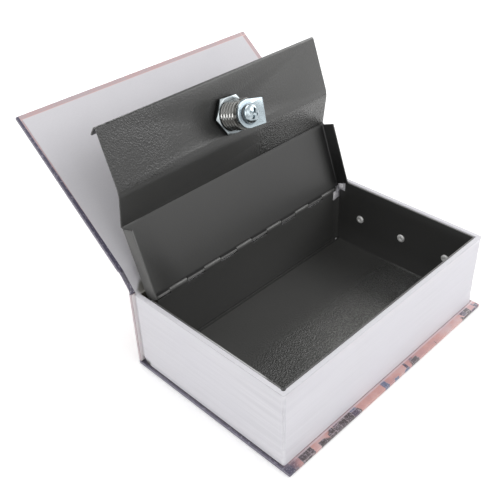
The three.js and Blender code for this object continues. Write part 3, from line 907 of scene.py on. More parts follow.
@dataclass(frozen=True)
class LidEnamel(HammeredEnamel):
    """The lid's enamel, told apart by the closed lid's run from its hinge, with painted light and shade on
    its panels and flanges.
    """

    name: str = "lid_enamel"
    # worn: the hinge tube's colour, partly wear and partly a painted highlight
    worn: Triple = (0.21, 0.21, 0.206)
    painted_light: Triple = (0.085, 0.085, 0.082)
    slot: float = 2.6
    groove_shade: float = 0.9
    origin: Triple = (0.0, 107.0, 44.2)
    tilt: float = 0.0
    end: float = 166.6
    panel: float = 46.0
    step: float = 65.3
    lock_hammered: Pair = (24.0, 52.0)
    slope_hammered: Pair = (92.0, 118.0)
    slope_lit: Pair = (95.0, 135.0)
    lock_lit: Pair = (90.0, 140.0)
    hinge_dim: Pair = (50.0, 130.0)
    lock_dim: Pair = (40.0, 80.0)
    flange_outside: Pair = (0.3, 0.9)
    flange_level: Pair = (-2.0, -1.2)
    inner_face: Pair = (-2.3, -2.1)

    def _runs(self, desk: Desk) -> tuple[Signal, Signal, Signal]:
        """Gives the place along the lid, its run from the hinge and its height."""
        along, back, height = desk.axes(desk.coordinates(self.origin, self.tilt))
        return along, back * -1.0, height

    def _zone(self, desk: Desk, where: Signal) -> Signal:
        """Gives how strongly the skin is hammered.

        Args:
            desk: the material being made.
            where: its coordinates; not used.

        Returns:
            The strength, about 1 at most.
        """
        along, run, _ = self._runs(desk)
        slope = run.spread(self.panel - 1, self.panel + 1) * run.fade(self.step - 1, self.step + 1)
        locked = run.spread(self.step - 1, self.step + 2)
        upper = locked * along.spread(*self.lock_hammered, 1.0, 0.32)
        return upper + slope * along.spread(*self.slope_hammered, 0.0, 1.4) + 0.08

    def _tone(self, desk: Desk, where: Signal, skin: Signal) -> Signal:
        """Paints light and shade onto the skin's faces.

        Args:
            desk: the material being made.
            where: its coordinates; not used.
            skin: its plain colour.

        Returns:
            The colour.
        """
        along, run, height = self._runs(desk)
        hinged = run.fade(self.panel - 3, self.panel)
        # painted shade on the hinge panel's tail end and its tail flange
        dimmed = desk.mix(along.spread(self.end - 8, self.end - 1.2) * hinged, skin, self.shade)
        # painted light on the head flange, the slope's tail end and the lock panel's tail end
        lit = hinged * along.fade(*self.flange_outside)
        lit = lit * height.spread(*self.flange_level, 1.0, 0.6)
        slope = run.spread(self.panel, self.panel + 2) * run.fade(self.step - 2, self.step)
        glow = slope * along.spread(*self.slope_lit) * 0.5
        far = run.spread(self.step, self.step + 4) * along.spread(*self.lock_lit) * 0.22
        toned = desk.mix(lit.most(glow).most(far), dimmed, self.painted_light)
        # painted shade on the hinge panel, growing toward the tail, and on the lock panel's head side
        low = hinged * along.spread(*self.hinge_dim, 0.08, 0.4) * height.spread(*self.inner_face)
        left = run.spread(self.step, self.step + 3) * along.spread(*self.lock_dim, 0.45, 0.0)
        return desk.mix(low.most(left), toned, self.shade)


@dataclass(frozen=True)
class PagePlastic:
    """White moulding with fine page lines on its upright faces, wavy near the fore corner, with painted
    light and shade.
    """

    name: str = "page_moulding"
    colour: Triple = (0.745, 0.735, 0.775)
    head: Triple = (0.83, 0.82, 0.86)
    line: Triple = (0.66, 0.65, 0.69)
    rim: Triple = (0.50, 0.495, 0.52)
    painted_shade: Triple = (0.060, 0.054, 0.044)
    tinge: Triple = (0.76, 0.75, 0.81)
    rubbed: Triple = (0.90, 0.89, 0.92)
    line_pitch: float = 0.42
    sheet_pitch: float = 2.4
    wave_pitch: float = 4.6
    wave_run: float = 55.0
    gutter_across: Pair = (105.1, 105.8)
    gutter_level: Pair = (40.0, 41.0)
    gutter_along: Pair = (1.4, 14.0)
    foot_across: Pair = (104.0, 106.5)
    foot_level: Pair = (1.0, 4.5)
    rim_level: Pair = (49.3, 50.5)
    roughness: float = 0.62

    def make(self) -> Material:
        """Builds the material.

        Returns:
            The finished material.
        """
        desk = Desk.material(self.name)
        where = desk.coordinates()
        along, across, level = desk.axes(where)
        pages = desk.noise(desk.stretch(where, (0.012, 0.012, 1.0)), self.line_pitch, 3.0, 0.6)
        sheets = desk.noise(desk.stretch(where, (0.03, 0.03, 1.0)), self.sheet_pitch, 2.0)
        waves = desk.noise(desk.stretch(where, (0.05, 0.05, 1.0)), self.wave_pitch, 1.0)
        fade = (along + across).fade(3.0, self.wave_run)
        cloud = desk.noise(where, 46.0, 3.0)
        lines = pages.spread(0.42, 0.7) * 0.28 + sheets.spread(0.35, 0.75) * 0.16
        # the head face is painted lighter, as it is lit more
        plain = desk.mix(along.fade(0.6, 1.6), self.colour, self.head)
        # page lines, with painted shade of the waves near the fore corner
        shade = desk.mix(lines + waves.spread(0.4, 0.6) * fade * 0.3, plain, self.line)
        tint = desk.mix(cloud.spread(0.35, 0.75) * 0.25, shade, self.tinge)
        # painted highlights: dabs on the fore corner and the upper band of the outer faces
        corner = (along + across).fade(0.9, 2.0) * waves.spread(0.35, 0.6, 0.1, 0.55)
        edge = level.spread(44.5, 49.0) * along.least(across).spread(0.4, 2.0, 0.1, 0.0)
        highlighted = desk.mix(corner.most(edge), tint, self.rubbed)
        # painted shadow on the spine-side rim near the head, and in the gap at the well's foot by the
        # spine
        near, far = self.gutter_along
        gutter = across.spread(*self.gutter_across) * level.spread(*self.gutter_level)
        gutter = gutter * along.spread(near, near + 2) * along.fade(far, far + 10)
        foot = across.spread(*self.foot_across) * level.spread(*self.foot_level, 0.9, 0.0)
        # painted shade on the rim's top
        rim_shaded = desk.mix(level.spread(*self.rim_level, 0.0, 0.55), highlighted, self.rim)
        dark = desk.mix(gutter.most(foot), rim_shaded, self.painted_shade)
        relief = pages * 0.12 + sheets * 0.06 + waves * fade * 0.8
        return desk.set(
            Base_Color=dark,
            Roughness=pages * 0.12 + (self.roughness - 0.06),
            Normal=desk.bump(relief, 0.35, 0.8),
            Specular_IOR_Level=0.35,
        )


@dataclass(frozen=True)
class Endpaper:
    """Uncoated white paper with a faint fibre, with a painted shadow in the gutter if it has one."""

    name: str = "endpaper"
    origin: Triple = (0.0, 0.0, 0.0)
    tilt: float = 0.0
    gutter: float = 0.0
    colour: Triple = (0.665, 0.655, 0.685)
    fleck: Triple = (0.60, 0.59, 0.625)
    painted_shade: Triple = (0.170, 0.165, 0.150)

    def make(self) -> Material:
        """Builds the material.

        Returns:
            The finished material.
        """
        desk = Desk.material(self.name)
        where = desk.coordinates()
        fibre = desk.noise(desk.stretch(where, (0.35, 1.0, 1.0)), 0.5, 4.0, 0.7)
        cloud = desk.noise(where, 28.0, 3.0)
        flecks = fibre.spread(0.4, 0.75) * 0.35 + cloud.spread(0.4, 0.8) * 0.3
        shade = desk.mix(flecks, self.colour, self.fleck)
        # painted shadow near the crease, where the lid's flange shades the lining
        if self.gutter:
            along, run, _ = desk.axes(desk.coordinates(self.origin, self.tilt))
            near = run.fade(self.gutter * 0.3, self.gutter)
            inside = (along - run.most(0.0) * 0.8).spread(2.8, 5.6)
            shade = desk.mix(near * inside, shade, self.painted_shade)
        return desk.set(
            Base_Color=shade,
            Roughness=fibre * 0.1 + 0.78,
            Normal=desk.bump(fibre, 0.03, 0.5),
            Specular_IOR_Level=0.25,
        )


@dataclass(frozen=True)
class PrintedPaper:
    """Laminated paper: clusters of small dark blocks on a salmon wash, navy along the head.

    Depth counts from the printed face: past bare_depth the paper is plain, past brown_depth brown.
    Seam is where the page block stands, across from the fore edge; a painted contact shadow lies along it.
    """

    name: str
    origin: Triple
    tilt: float
    bare_depth: float = 900.0
    brown_depth: float = 900.0
    seam: float = 900.0
    block: float = 5.2
    lump: float = 2.2
    shift: float = 1.5
    row: float = 6.5
    band: float = 1.2
    band_end: float = 15.0
    navy: Triple = (0.060, 0.053, 0.090)
    bare: Triple = (0.60, 0.50, 0.53)
    brown: Triple = (0.24, 0.15, 0.16)
    inner: Triple = (0.82, 0.77, 0.78)
    fleck: Triple = (0.40, 0.38, 0.45)
    line: Triple = (0.016, 0.013, 0.02)
    haze: Triple = (0.5, 0.45, 0.5)
    streak: Triple = (0.36, 0.32, 0.38)
    gap: Triple = (0.60, 0.50, 0.52)
    washes: tuple[tuple[float, Triple], ...] = (
        (0.0, (0.45, 0.25, 0.26)), (0.5, (0.56, 0.30, 0.27)), (1.0, (0.58, 0.40, 0.40)),
    )
    inks: tuple[tuple[float, Triple], ...] = (
        (0.0, (0.022, 0.022, 0.024)), (0.26, (0.035, 0.030, 0.065)), (0.42, (0.075, 0.045, 0.075)),
        (0.56, (0.028, 0.027, 0.029)), (0.84, (0.075, 0.115, 0.21)), (0.92, (0.07, 0.065, 0.07)),
    )

    def make(self) -> Material:
        """Builds the material.

        Returns:
            The finished material.
        """
        desk = Desk.material(self.name)
        where = desk.coordinates(self.origin, self.tilt)
        along, across, depth = desk.axes(where)
        printed = self._figure(desk, where)
        edge = desk.noise(where, 5.0, 3.0) * 9.0 - 4.5
        head = (along + edge).spread(self.band, self.band_end)
        flecks = desk.noise(where, 1.1, 3.0, 0.65).spread(0.56, 0.62) * 0.6
        # the head end's face is painted lighter, as it is lit from the head
        side = along.spread(0.0, 0.3, 0.3, 0.0)
        navy = desk.mix(flecks.most(side), self.navy, self.fleck)
        # painted contact shadow: a near-black line where the block's head face stands
        line = along.spread(1.1, 1.3) * along.fade(1.8, 2.2) * across.spread(5.0, 5.6)
        lined = desk.mix(line * 0.9, navy, self.line)
        face = desk.mix(head, lined, printed)
        pale = desk.mix(across.spread(self.seam - 1.6, self.seam - 1.3) * head * 0.75, face, self.bare)
        # painted contact shadow: a brown line in front of the block's fore face
        seamed = desk.mix(across.spread(self.seam - 0.5, self.seam - 0.35) * head, pale, self.brown)
        turned = desk.mix(depth > self.bare_depth, seamed, self.bare)
        browned = desk.mix(depth > self.brown_depth, turned, self.brown)
        inner = desk.mix(depth > self.brown_depth + 0.14, browned, self.inner)
        grain = desk.noise(where, 0.8, 3.0)
        return desk.set(
            Base_Color=desk.mix(grain.spread(0.35, 0.75) * 0.1, inner, self.haze),
            Roughness=grain * 0.12 + 0.36,
            Normal=desk.bump(grain, 0.015, 0.5),
            Coat_Weight=0.22,
            Coat_Roughness=0.25,
        )

    def _figure(self, desk: Desk, where: Signal) -> Signal:
        """Draws the print away from the head.

        Args:
            desk: the material being made.
            where: the paper's own flat coordinates.

        Returns:
            The colour.
        """
        wash = desk.noise(where, 17.0, 4.0, 0.6)
        lumps = {"Vector": where, "Scale": 1 / self.lump, "Detail": 3.0}
        shift = desk.vector("SUBTRACT", desk.node("TexNoise", {}, lumps, "Color"), (0.5, 0.5, 0.5))
        bent = desk.vector("ADD", where, desk.stretch(shift, (self.shift,) * 3))
        along, across, _ = desk.axes(bent)
        bands = desk.axes(desk.stripes(along, self.block, "Color"))
        rows = desk.axes(desk.stripes(across + bands[1] * 9.0, self.row, "Color"))
        chance = (bands[0] * 3.7 + rows[1] * 5.3).fraction()
        cluster = desk.noise(desk.stretch(where, (1.0, 0.6, 0.02)), 30.0, 1.0)
        corner = desk.axes(where)[0].spread(14.0, 34.0, 0.35, 0.0)
        ground = desk.ramp(wash.spread(0.3, 0.7), self.washes)
        inks = desk.ramp(chance, self.inks, steps=True)
        streaks = desk.noise(desk.stretch(bent, (1.6, 0.7, 0.1)), 1.0, 3.0, 0.65)
        ink = desk.mix(streaks.spread(0.52, 0.62) * 0.65, inks, self.streak)
        weight = bands[0] * 0.45 + rows[0] * 0.3 + cluster.spread(0.35, 0.65) * 0.6 + corner
        share = weight.spread(0.70, 0.74)
        figure = desk.mix(share * 0.94, ground, ink)
        gap = desk.stripes(along, self.block, "Distance", "DISTANCE_TO_EDGE")
        rule = desk.stripes(across + bands[1] * 9.0, self.row, "Distance", "DISTANCE_TO_EDGE")
        pale = gap.least(rule).spread(0.02, 0.05, 0.4, 0.0) * share
        return desk.mix(pale, figure, self.gap)


@dataclass(frozen=True)
class TurnedPaper:
    """The pinkish grey turn-in, navy along the head, with a salmon line beside the endpaper."""

    name: str
    origin: Triple
    tilt: float
    far: float
    side: float
    line: float = 0.45
    colour: Triple = (0.47, 0.375, 0.395)
    warm: Triple = (0.52, 0.355, 0.36)
    salmon: Triple = (0.72, 0.50, 0.47)
    navy: Triple = (0.068, 0.060, 0.100)
    navy_fleck: Triple = (0.40, 0.38, 0.45)
    fibre: Triple = (0.60, 0.57, 0.59)

    def make(self) -> Material:
        """Builds the material.

        Returns:
            The finished material.
        """
        desk = Desk.material(self.name)
        where = desk.coordinates(self.origin, self.tilt)
        along, across, _ = desk.axes(where)
        mottle = desk.noise(where, 9.0, 4.0, 0.6)
        fibre = desk.noise(where, 0.7, 3.0)
        shade = desk.mix(mottle.spread(0.35, 0.7), self.colour, self.warm)
        worn = desk.mix(fibre.spread(0.45, 0.8) * 0.15, shade, self.fibre)
        beside = abs(across - self.far).least(abs(along - self.side))
        lined = desk.mix(beside.spread(self.line * 0.5, self.line, 0.8, 0.0), worn, self.salmon)
        reach_in = along + across * 0.012 + mottle * 0.5
        flecks = desk.noise(where, 1.1, 3.0, 0.65).spread(0.57, 0.63) * 0.55
        navy = desk.mix(flecks, self.navy, self.navy_fleck)
        margin = desk.mix(reach_in.fade(2.7, 3.1), lined, navy)
        return desk.set(
            Base_Color=margin,
            Roughness=fibre * 0.1 + 0.48,
            Normal=desk.bump(fibre, 0.02, 0.5),
            Coat_Weight=0.1,
        )


@dataclass(frozen=True)
class Metal:
    """A plated or bare metal, with its haze and fine marks."""

    name: str
    colour: Triple
    second: Triple
    roughness: float
    metallic: float = 1.0
    mark: float = 0.03
    lump: float = 2.5

    def make(self) -> Material:
        """Builds the material.

        Returns:
            The finished material.
        """
        desk = Desk.material(self.name)
        where = desk.coordinates()
        haze = desk.noise(where, self.lump, 3.0, 0.6)
        scratch = desk.noise(desk.stretch(where, (0.2, 1.0, 1.0)), 0.25, 3.0, 0.65)
        return desk.set(
            Base_Color=desk.mix(haze.spread(0.35, 0.7), self.colour, self.second),
            Metallic=self.metallic,
            Roughness=haze * 0.14 + scratch * 0.1 + (self.roughness - 0.12),
            Normal=desk.bump(scratch * 0.5 + haze * 0.5, self.mark, 0.7),
        )


@dataclass(frozen=True)
class NutZinc:
    """Zinc with painted dark reflections on the nut's sides, grey on its face and a painted highlight on
    its chamfer.
    """

    origin: Triple
    tilt: float
    chamfer: float
    face: float
    name: str = "nut_zinc"
    dark: Triple = (0.045, 0.05, 0.052)
    grey: Triple = (0.17, 0.19, 0.20)
    haze: Triple = (0.30, 0.33, 0.34)
    bright: Triple = (0.42, 0.46, 0.475)

    def make(self) -> Material:
        """Builds the material.

        Returns:
            The finished material.
        """
        desk = Desk.material(self.name)
        where = desk.coordinates(self.origin, self.tilt)
        across, up, height = desk.axes(where)
        away = (across * across + up * up) ** 0.5
        haze = desk.noise(where, 2.2, 3.0, 0.6)
        # painted shade: the nut's sides are dark, its front face and chamfer lighter
        front = (height + haze * 0.2).fade(self.chamfer, self.chamfer + 0.25)
        # painted highlight round the chamfer's corners
        rubbed = (away + haze * 0.3).spread(self.face + 0.2, self.face + 0.6)
        rubbed = rubbed * (height + haze * 0.1).spread(0.02, 0.12, 0.75, 1.0)
        plain = desk.mix(haze.spread(0.35, 0.7) * 0.5, self.grey, self.haze)
        return desk.set(
            Base_Color=desk.mix(front, self.dark, desk.mix(rubbed, plain, self.bright)),
            Metallic=1.0,
            Roughness=haze * 0.14 + 0.24,
            Normal=desk.bump(haze, 0.03, 0.6),
        )


@dataclass(frozen=True)
class CamZinc:
    """Zinc on the cam: pale blue-grey, with painted shade round the screw and toward its upper left."""

    origin: Triple
    tilt: float
    ring: float
    name: str = "cam_zinc"
    colour: Triple = (0.36, 0.42, 0.45)
    haze: Triple = (0.30, 0.35, 0.38)
    dark: Triple = (0.08, 0.105, 0.13)
    dark_side: Pair = (-7.0, 1.0)

    def make(self) -> Material:
        """Builds the material.

        Returns:
            The finished material.
        """
        desk = Desk.material(self.name)
        where = desk.coordinates(self.origin, self.tilt)
        across, up, _ = desk.axes(where)
        away = (across * across + up * up) ** 0.5
        haze = desk.noise(where, 2.2, 3.0, 0.6)
        scratch = desk.noise(desk.stretch(where, (0.3, 2.5, 1.0)), 0.8, 2.0)
        plain = desk.mix(haze.spread(0.35, 0.7) * 0.4, self.colour, self.haze)
        # painted shadow round the screw's head, and painted shade toward the upper left
        near = away.spread(self.ring + 0.3, self.ring + 1.3, 0.8, 0.0)
        side = (across + up * 1.2).spread(*self.dark_side, 0.5, 0.0)
        side = side * away.fade(self.ring + 1.9, self.ring + 2.4)
        return desk.set(
            Base_Color=desk.mix(near.most(side), plain, self.dark),
            Metallic=1.0,
            Roughness=haze * 0.12 + scratch * 0.1 + 0.16,
            Normal=desk.bump(haze + scratch * 0.4, 0.03, 0.6),
        )


@dataclass(frozen=True)
class ThreadNickel:
    """Nickel on a screwed barrel, with painted reflections: pale on its flat, a bright band along its
    shoulder, dark underneath, and painted shade in the thread.
    """

    origin: Point
    tilt: float
    pitch: float
    name: str = "thread_nickel"
    reach: float = 9.0
    groove_shade: Triple = (0.05, 0.05, 0.048)
    reflection_tones: tuple[tuple[float, Triple], ...] = (
        (0.0, (0.26, 0.26, 0.25)), (0.14, (0.30, 0.30, 0.29)), (0.28, (0.10, 0.10, 0.096)),
        (0.36, (0.62, 0.62, 0.60)), (0.43, (0.80, 0.80, 0.78)), (0.50, (0.09, 0.088, 0.083)),
        (0.76, (0.11, 0.107, 0.10)), (0.90, (0.30, 0.30, 0.29)), (1.0, (0.16, 0.16, 0.155)),
    )

    def make(self) -> Material:
        """Builds the material.

        Returns:
            The finished material.
        """
        desk = Desk.material(self.name)
        where = desk.coordinates(self.origin, self.tilt)
        _, up, height = desk.axes(where)
        haze = desk.noise(where, 1.4, 3.0, 0.6)
        ridge = abs((height / self.pitch).fraction() - 0.5) * 2.0
        # every second thread groove gets painted shade
        stripe = abs((height / (self.pitch * 2.0)).fraction() - 0.5) * 2.0
        # painted reflections banded round the barrel
        level = up + haze * 0.25 + stripe * 1.6 - 0.9
        tone = desk.ramp(level.spread(-self.reach, self.reach), self.reflection_tones)
        return desk.set(
            Base_Color=desk.mix(stripe.spread(0.1, 0.6, 0.65, 0.0), tone, self.groove_shade),
            Metallic=1.0,
            Roughness=haze * 0.12 + 0.2,
            Normal=desk.bump(ridge * 0.6 + haze * 0.2, 0.2, 0.6),
        )


@dataclass(frozen=True)
class GreyBoard:
    """Pressed grey board with flecks."""

    name: str = "grey_board"
    colour: Triple = (0.27, 0.25, 0.23)
    fleck: Triple = (0.36, 0.34, 0.31)

    def make(self) -> Material:
        """Builds the material.

        Returns:
            The finished material.
        """
        desk = Desk.material(self.name)
        flecks = desk.noise(desk.coordinates(), 0.6, 4.0, 0.7)
        return desk.set(
            Base_Color=desk.mix(flecks.spread(0.4, 0.7), self.colour, self.fleck),
            Roughness=flecks * 0.1 + 0.85,
            Normal=desk.bump(flecks, 0.08),
        )


class Finishes:
    """The materials that more than one sub-assembly uses, each made once."""

    def __init__(self) -> None:
        """Makes the materials."""
        self.enamel = HammeredEnamel().make()
        self.tray_enamel = TrayEnamel().make()
        self.weld = HammeredEnamel(
            "weld_enamel", (0.016, 0.016, 0.016), (0.008, 0.008, 0.008), (0.03, 0.03, 0.03)
        ).make()
        self.pages = PagePlastic().make()
        # painted light: the lugs are whiter than the moulding, for light that the lid keeps from them
        self.lug = PagePlastic("lug_moulding", (0.92, 0.91, 0.92), (0.92, 0.91, 0.92)).make()
        self.endpaper = Endpaper().make()
        self.zinc = Metal("bright_zinc", (0.40, 0.46, 0.49), (0.25, 0.29, 0.31), 0.25).make()
        self.nickel = Metal("dull_nickel", (0.50, 0.50, 0.49), (0.40, 0.40, 0.39), 0.24).make()
        self.steel = Metal("plain_steel", (0.42, 0.42, 0.41), (0.30, 0.30, 0.29), 0.36).make()
        self.rivet = Metal("rivet_alloy", (0.74, 0.74, 0.73), (0.58, 0.58, 0.57), 0.6, 0.45).make()
        self.brass = Metal("brass", (0.60, 0.45, 0.16), (0.50, 0.36, 0.12), 0.3).make()
        self.board = GreyBoard().make()


@dataclass
class Studio:
    """The camera, the lamps and the pale floor. Places are metres in the row frame."""

    camera_place: Triple = (-0.26699, -0.21728, 0.31153)
    camera_right: Triple = (0.69983, -0.7138, -0.02703)
    camera_down: Triple = (-0.43299, -0.39381, -0.81083)
    camera_ahead: Triple = (0.56812, 0.57914, -0.58466)
    camera_sight: Pair = (0.01, 20.0)
    lens: float = 53.793
    sensor: float = 36.0
    floor_size: float = 6.0
    floor_place: Triple = (0.0, 0.0, -0.0002)
    floor_colour: Triple = (0.82, 0.82, 0.82)
    floor_glow: float = 0.34
    floor_fade: Pair = (380.0, 1400.0)
    ambient: float = 0.2
    lamp_size: float = 0.8
    lamp_aim: Triple = (0.0, 0.0, 0.05)
    lamps: tuple[tuple[str, Triple, float], ...] = (
        ("left_lamp", (-0.55, -0.75, 0.95), 2.3),
        ("front_lamp", (0.0, -1.1, 0.7), 2.7),
        ("fore_lamp", (0.8, -0.8, 0.8), 8.1),
        ("tail_lamp", (1.15, 0.1, 0.7), 5.4),
        ("head_lamp", (-1.15, 0.1, 0.6), 5.1),
        ("back_lamp", (0.1, 0.9, 1.0), 9.7),
    )

    def build(self) -> None:
        """Sets up everything that isn't the object."""
        self._camera()
        self._world()
        self._floor()
        for name, spot, power in self.lamps:
            self._lamp(name, spot, power)
        bpy.context.scene.view_settings.view_transform = "Standard"

    def _camera(self) -> None:
        """Places the camera at the photograph's angle."""
        data = bpy.data.cameras.new("camera")
        data.sensor_width = self.sensor
        data.lens = self.lens
        data.clip_start, data.clip_end = self.camera_sight
        camera = bpy.data.objects.new("camera", data)
        axes = [Vector(self.camera_right), -Vector(self.camera_down), -Vector(self.camera_ahead)]
        turn = Matrix(axes).transposed().to_4x4()
        camera.matrix_world = Matrix.Translation(self.camera_place) @ turn
        bpy.context.scene.collection.objects.link(camera)
        bpy.context.scene.camera = camera

    def _world(self) -> None:
        """Gives a plain soft light, and white where the camera or a reflection looks past it all."""
        bpy.context.scene.world = bpy.data.worlds.new("world")
        desk = Desk(bpy.context.scene.world, "Background")
        level = {"Value": desk.seen(), "To Min": self.ambient, "To Max": 1.0}
        desk.set(Color=(1.0, 1.0, 1.0), Strength=desk.node("MapRange", {}, level))

    def _floor(self) -> None:
        """Lays the floor, which keeps the object's shadow and is otherwise white to the camera."""
        Bench.sweep()
        bpy.ops.mesh.primitive_plane_add(size=self.floor_size, location=self.floor_place)
        floor = bpy.context.object
        floor.name = "floor"
        desk = Desk.material("pale_floor")
        along, across, _ = desk.axes(desk.coordinates())
        away = (along * along + across * across) ** 0.5
        level = desk.seen() * away.spread(*self.floor_fade, self.floor_glow, 1.0)
        plain = desk.node("BsdfDiffuse", {}, {"Color": (*self.floor_colour, 1.0)})
        glow = desk.node("Emission", {}, {"Strength": level})
        both = desk.node("AddShader", {}, {0: plain, 1: glow})
        desk.tree.links.new(both.socket, desk.tree.nodes["Material Output"].inputs["Surface"])
        desk.tree.nodes.remove(desk.shader)
        floor.data.materials.append(desk.owner)

    def _lamp(self, name: str, spot: Point, power: float) -> None:
        """Hangs a soft square lamp that looks at the book.

        Args:
            name: the lamp's name.
            spot: where it hangs.
            power: its power in watts.
        """
        data = bpy.data.lights.new(name, "AREA")
        data.size = self.lamp_size
        data.energy = power
        lamp = bpy.data.objects.new(name, data)
        lamp.location = spot
        lamp.rotation_mode = "QUATERNION"
        lamp.rotation_quaternion = (Vector(self.lamp_aim) - Vector(spot)).to_track_quat("-Z", "Y")
        bpy.context.scene.collection.objects.link(lamp)


def facing_up(at: Vector, normal: Vector) -> bool:
    """Says whether a face looks up."""
    return normal.z > 0.5


def facing_spine(at: Vector, normal: Vector) -> bool:
    """Says whether a face looks toward the spine."""
    return normal.y > 0.5


@dataclass
class PageBlock:
    """The white moulding that looks like the pages."""

    finishes: Finishes
    length: float = 176.4
    width: float = 110.0
    height: float = 50.5
    rim: float = 2.8
    spine_rim: float = 1.1
    floor: float = 1.1
    rabbet_height: float = 41.6
    well_end: float = 106.5
    corner: float = 1.4
    spine_corner: float = 4.6
    rim_round: float = 1.3
    well_round: float = 0.4
    ripple_pitch: float = 5.5
    ripple_depth: float = 0.16
    ripple_half: float = 1.2
    ripple_run: float = 20.0
    ripple_shape: tuple[Pair, ...] = ((-1.0, 0.0), (-0.35, 0.8), (0.35, 0.8), (1.0, 0.0))
    lug_round: float = 0.15
    liner_round: float = 0.3
    liner: tuple[Triple, ...] = ((0.3, 109.9, 3.6), (176.1, 111.8, 49.6))
    lugs: tuple[tuple[Triple, Triple], ...] = (
        ((165.7, 105.5, 36.7), (169.1, 107.0, 42.2)),
        ((172.6, 103.0, 43.9), (174.2, 108.4, 46.4)),
        ((169.8, 105.1, 1.9), (171.1, 106.0, 3.2)),
    )

    def build(self) -> None:
        """Models the moulding, its lugs and the liner on its spine side."""
        bench = Bench.block("page_moulding", (0, 0, 0), (self.length, self.width, self.height))
        bench.select(Pick.FACES, facing_up).inset(self.rim)
        bench.select(Pick.POINTS, lambda at, _: at.z > 1 and self.width - 5 < at.y < self.width - 1)
        bench.move((0, self.rim - self.spine_rim, 0))
        bench.select(Pick.FACES, lambda at, normal: normal.z > 0.5 and self._in_well(at))
        bench.extrude((0, 0, self.rabbet_height - self.height))
        bench.select(Pick.FACES, lambda at, _: self._on_rabbet(at))
        bench.cut((0, self.well_end, 0), Axis.Y.value)
        bench.select(Pick.FACES, lambda at, _: self._on_rabbet(at) and at.y < self.well_end)
        bench.extrude((0, 0, self.floor - self.rabbet_height))
        bench.select(
            Pick.EDGES, lambda at, way: abs(way.z) > 0.9 and at.y < 0.1 and not 1 < at.x < self.length - 1
        ).bevel(self.corner, 4)
        bench.select(
            Pick.EDGES, lambda at, way: abs(way.x) > 0.9 and at.z < 0.1 and at.y > self.width - 0.1
        ).bevel(self.spine_corner, 8)
        for inner, width in ((False, self.rim_round), (True, self.well_round)):
            bench.select(
                Pick.EDGES, lambda at, way: abs(at.z - self.height) < 0.01 and abs(way.z) < 0.1
                and (abs(way.x) < 0.99 or at.y < self.width - 0.01) and self._on_rim(at, inner)
            ).bevel(width, 4)
        self._ripple(bench)
        bench.tidy().finish(self.finishes.pages, Body.CASE, "page_plastic", "page_block")
        for number, corners in enumerate(self.lugs, start=1):
            lug = Bench.block(f"page_lug_{number}", *corners).soften(self.lug_round)
            lug.finish(self.finishes.lug, Body.CASE, "page_plastic")
        liner = Bench.block("spine_liner", *self.liner).soften(self.liner_round, 3)
        liner.finish(self.finishes.endpaper, Body.CASE, "white_paper")

    def _in_well(self, at: Vector) -> bool:
        """Says whether a face's middle lies inside the rim."""
        across = self.rim + 0.1 < at.y < self.width - self.spine_rim - 0.1
        return across and self.rim + 0.1 < at.x < self.length - self.rim - 0.1

    def _on_rabbet(self, at: Vector) -> bool:
        """Says whether a face's middle lies on the rabbet's floor."""
        return self._in_well(at) and abs(at.z - self.rabbet_height) < 0.1

    def _on_rim(self, at: Vector, inner: bool) -> bool:
        """Says whether an edge lies on one of the rim's outlines.

        Args:
            at: the edge's middle.
            inner: asks for the inner outline instead of the outer one.

        Returns:
            Whether it does.
        """
        if not inner:
            return at.x < 0.8 or at.x > self.length - 0.8 or at.y < 0.8
        across = (self.rim, self.width - self.spine_rim)
        along = (self.rim, self.length - self.rim)
        near_side = any(abs(at.y - side) < 0.1 for side in across)
        return near_side or any(abs(at.x - end) < 0.1 for end in along)

    def _ripple(self, bench: Bench) -> None:
        """Draws the fore corners in a little between the gatherings of pages.

        Args:
            bench: the moulding.
        """
        for along in (self.ripple_run, self.length - self.ripple_run):
            bench.cut_all((along, 0, 0), Axis.X.value)
        bench.cut_all((0, self.ripple_run, 0), Axis.Y.value)
        centre = (self.length / 2, self.width, 0)
        side = self.corner + 0.1
        for number in range(1, int(self.height / self.ripple_pitch) + 1):
            for offset, share in self.ripple_shape:
                level = number * self.ripple_pitch + offset * self.ripple_half
                if level > self.height - self.rim_round - 0.2:
                    continue
                bench.cut_all((0, 0, level), Axis.Z.value)
                if share:
                    depth = self.ripple_depth * share
                    scale = (1 - 2 * depth / self.length, 1 - depth / self.width, 1)
                    bench.select(
                        Pick.POINTS,
                        lambda at, _: abs(at.z - level) < 0.01 and at.y < side
                        and (at.x < side or at.x > self.length - side),
                    ).resize(scale, centre)


@dataclass
class Hinge:
    """Sizes that the tray and the lid share."""

    y: float = 107.0
    z: float = 44.2
    bore: float = 0.8
    sheet: float = 0.8
    tray_knuckles: int = 6
    pitch: float = 13.35
    first: float = 15.3
    gap: float = 0.35
    lid_start: float = 4.9
    lid_length: float = 166.6
    slot_margin: float = 0.15
    tail_trim: float = 3.0
    roll: float = 285.0
    roll_steps: int = 24

    def tray_spans(self) -> list[Pair]:
        """Gives where the tray's knuckles start and end along the hinge."""
        starts = [self.lid_start + self.first + 2 * i * self.pitch for i in range(self.tray_knuckles)]
        return [(s + self.gap / 2, s + self.pitch - self.gap / 2) for s in starts]

    def lid_spans(self) -> list[Pair]:
        """Gives where the lid's knuckles start and end along the hinge.

        Returns:
            A pair for each knuckle.
        """
        marks = [self.lid_start]
        for start, end in self.tray_spans():
            marks += [start - self.gap, end + self.gap]
        marks.append(self.lid_start + self.lid_length - self.tail_trim)
        return list(zip(marks[::2], marks[1::2]))


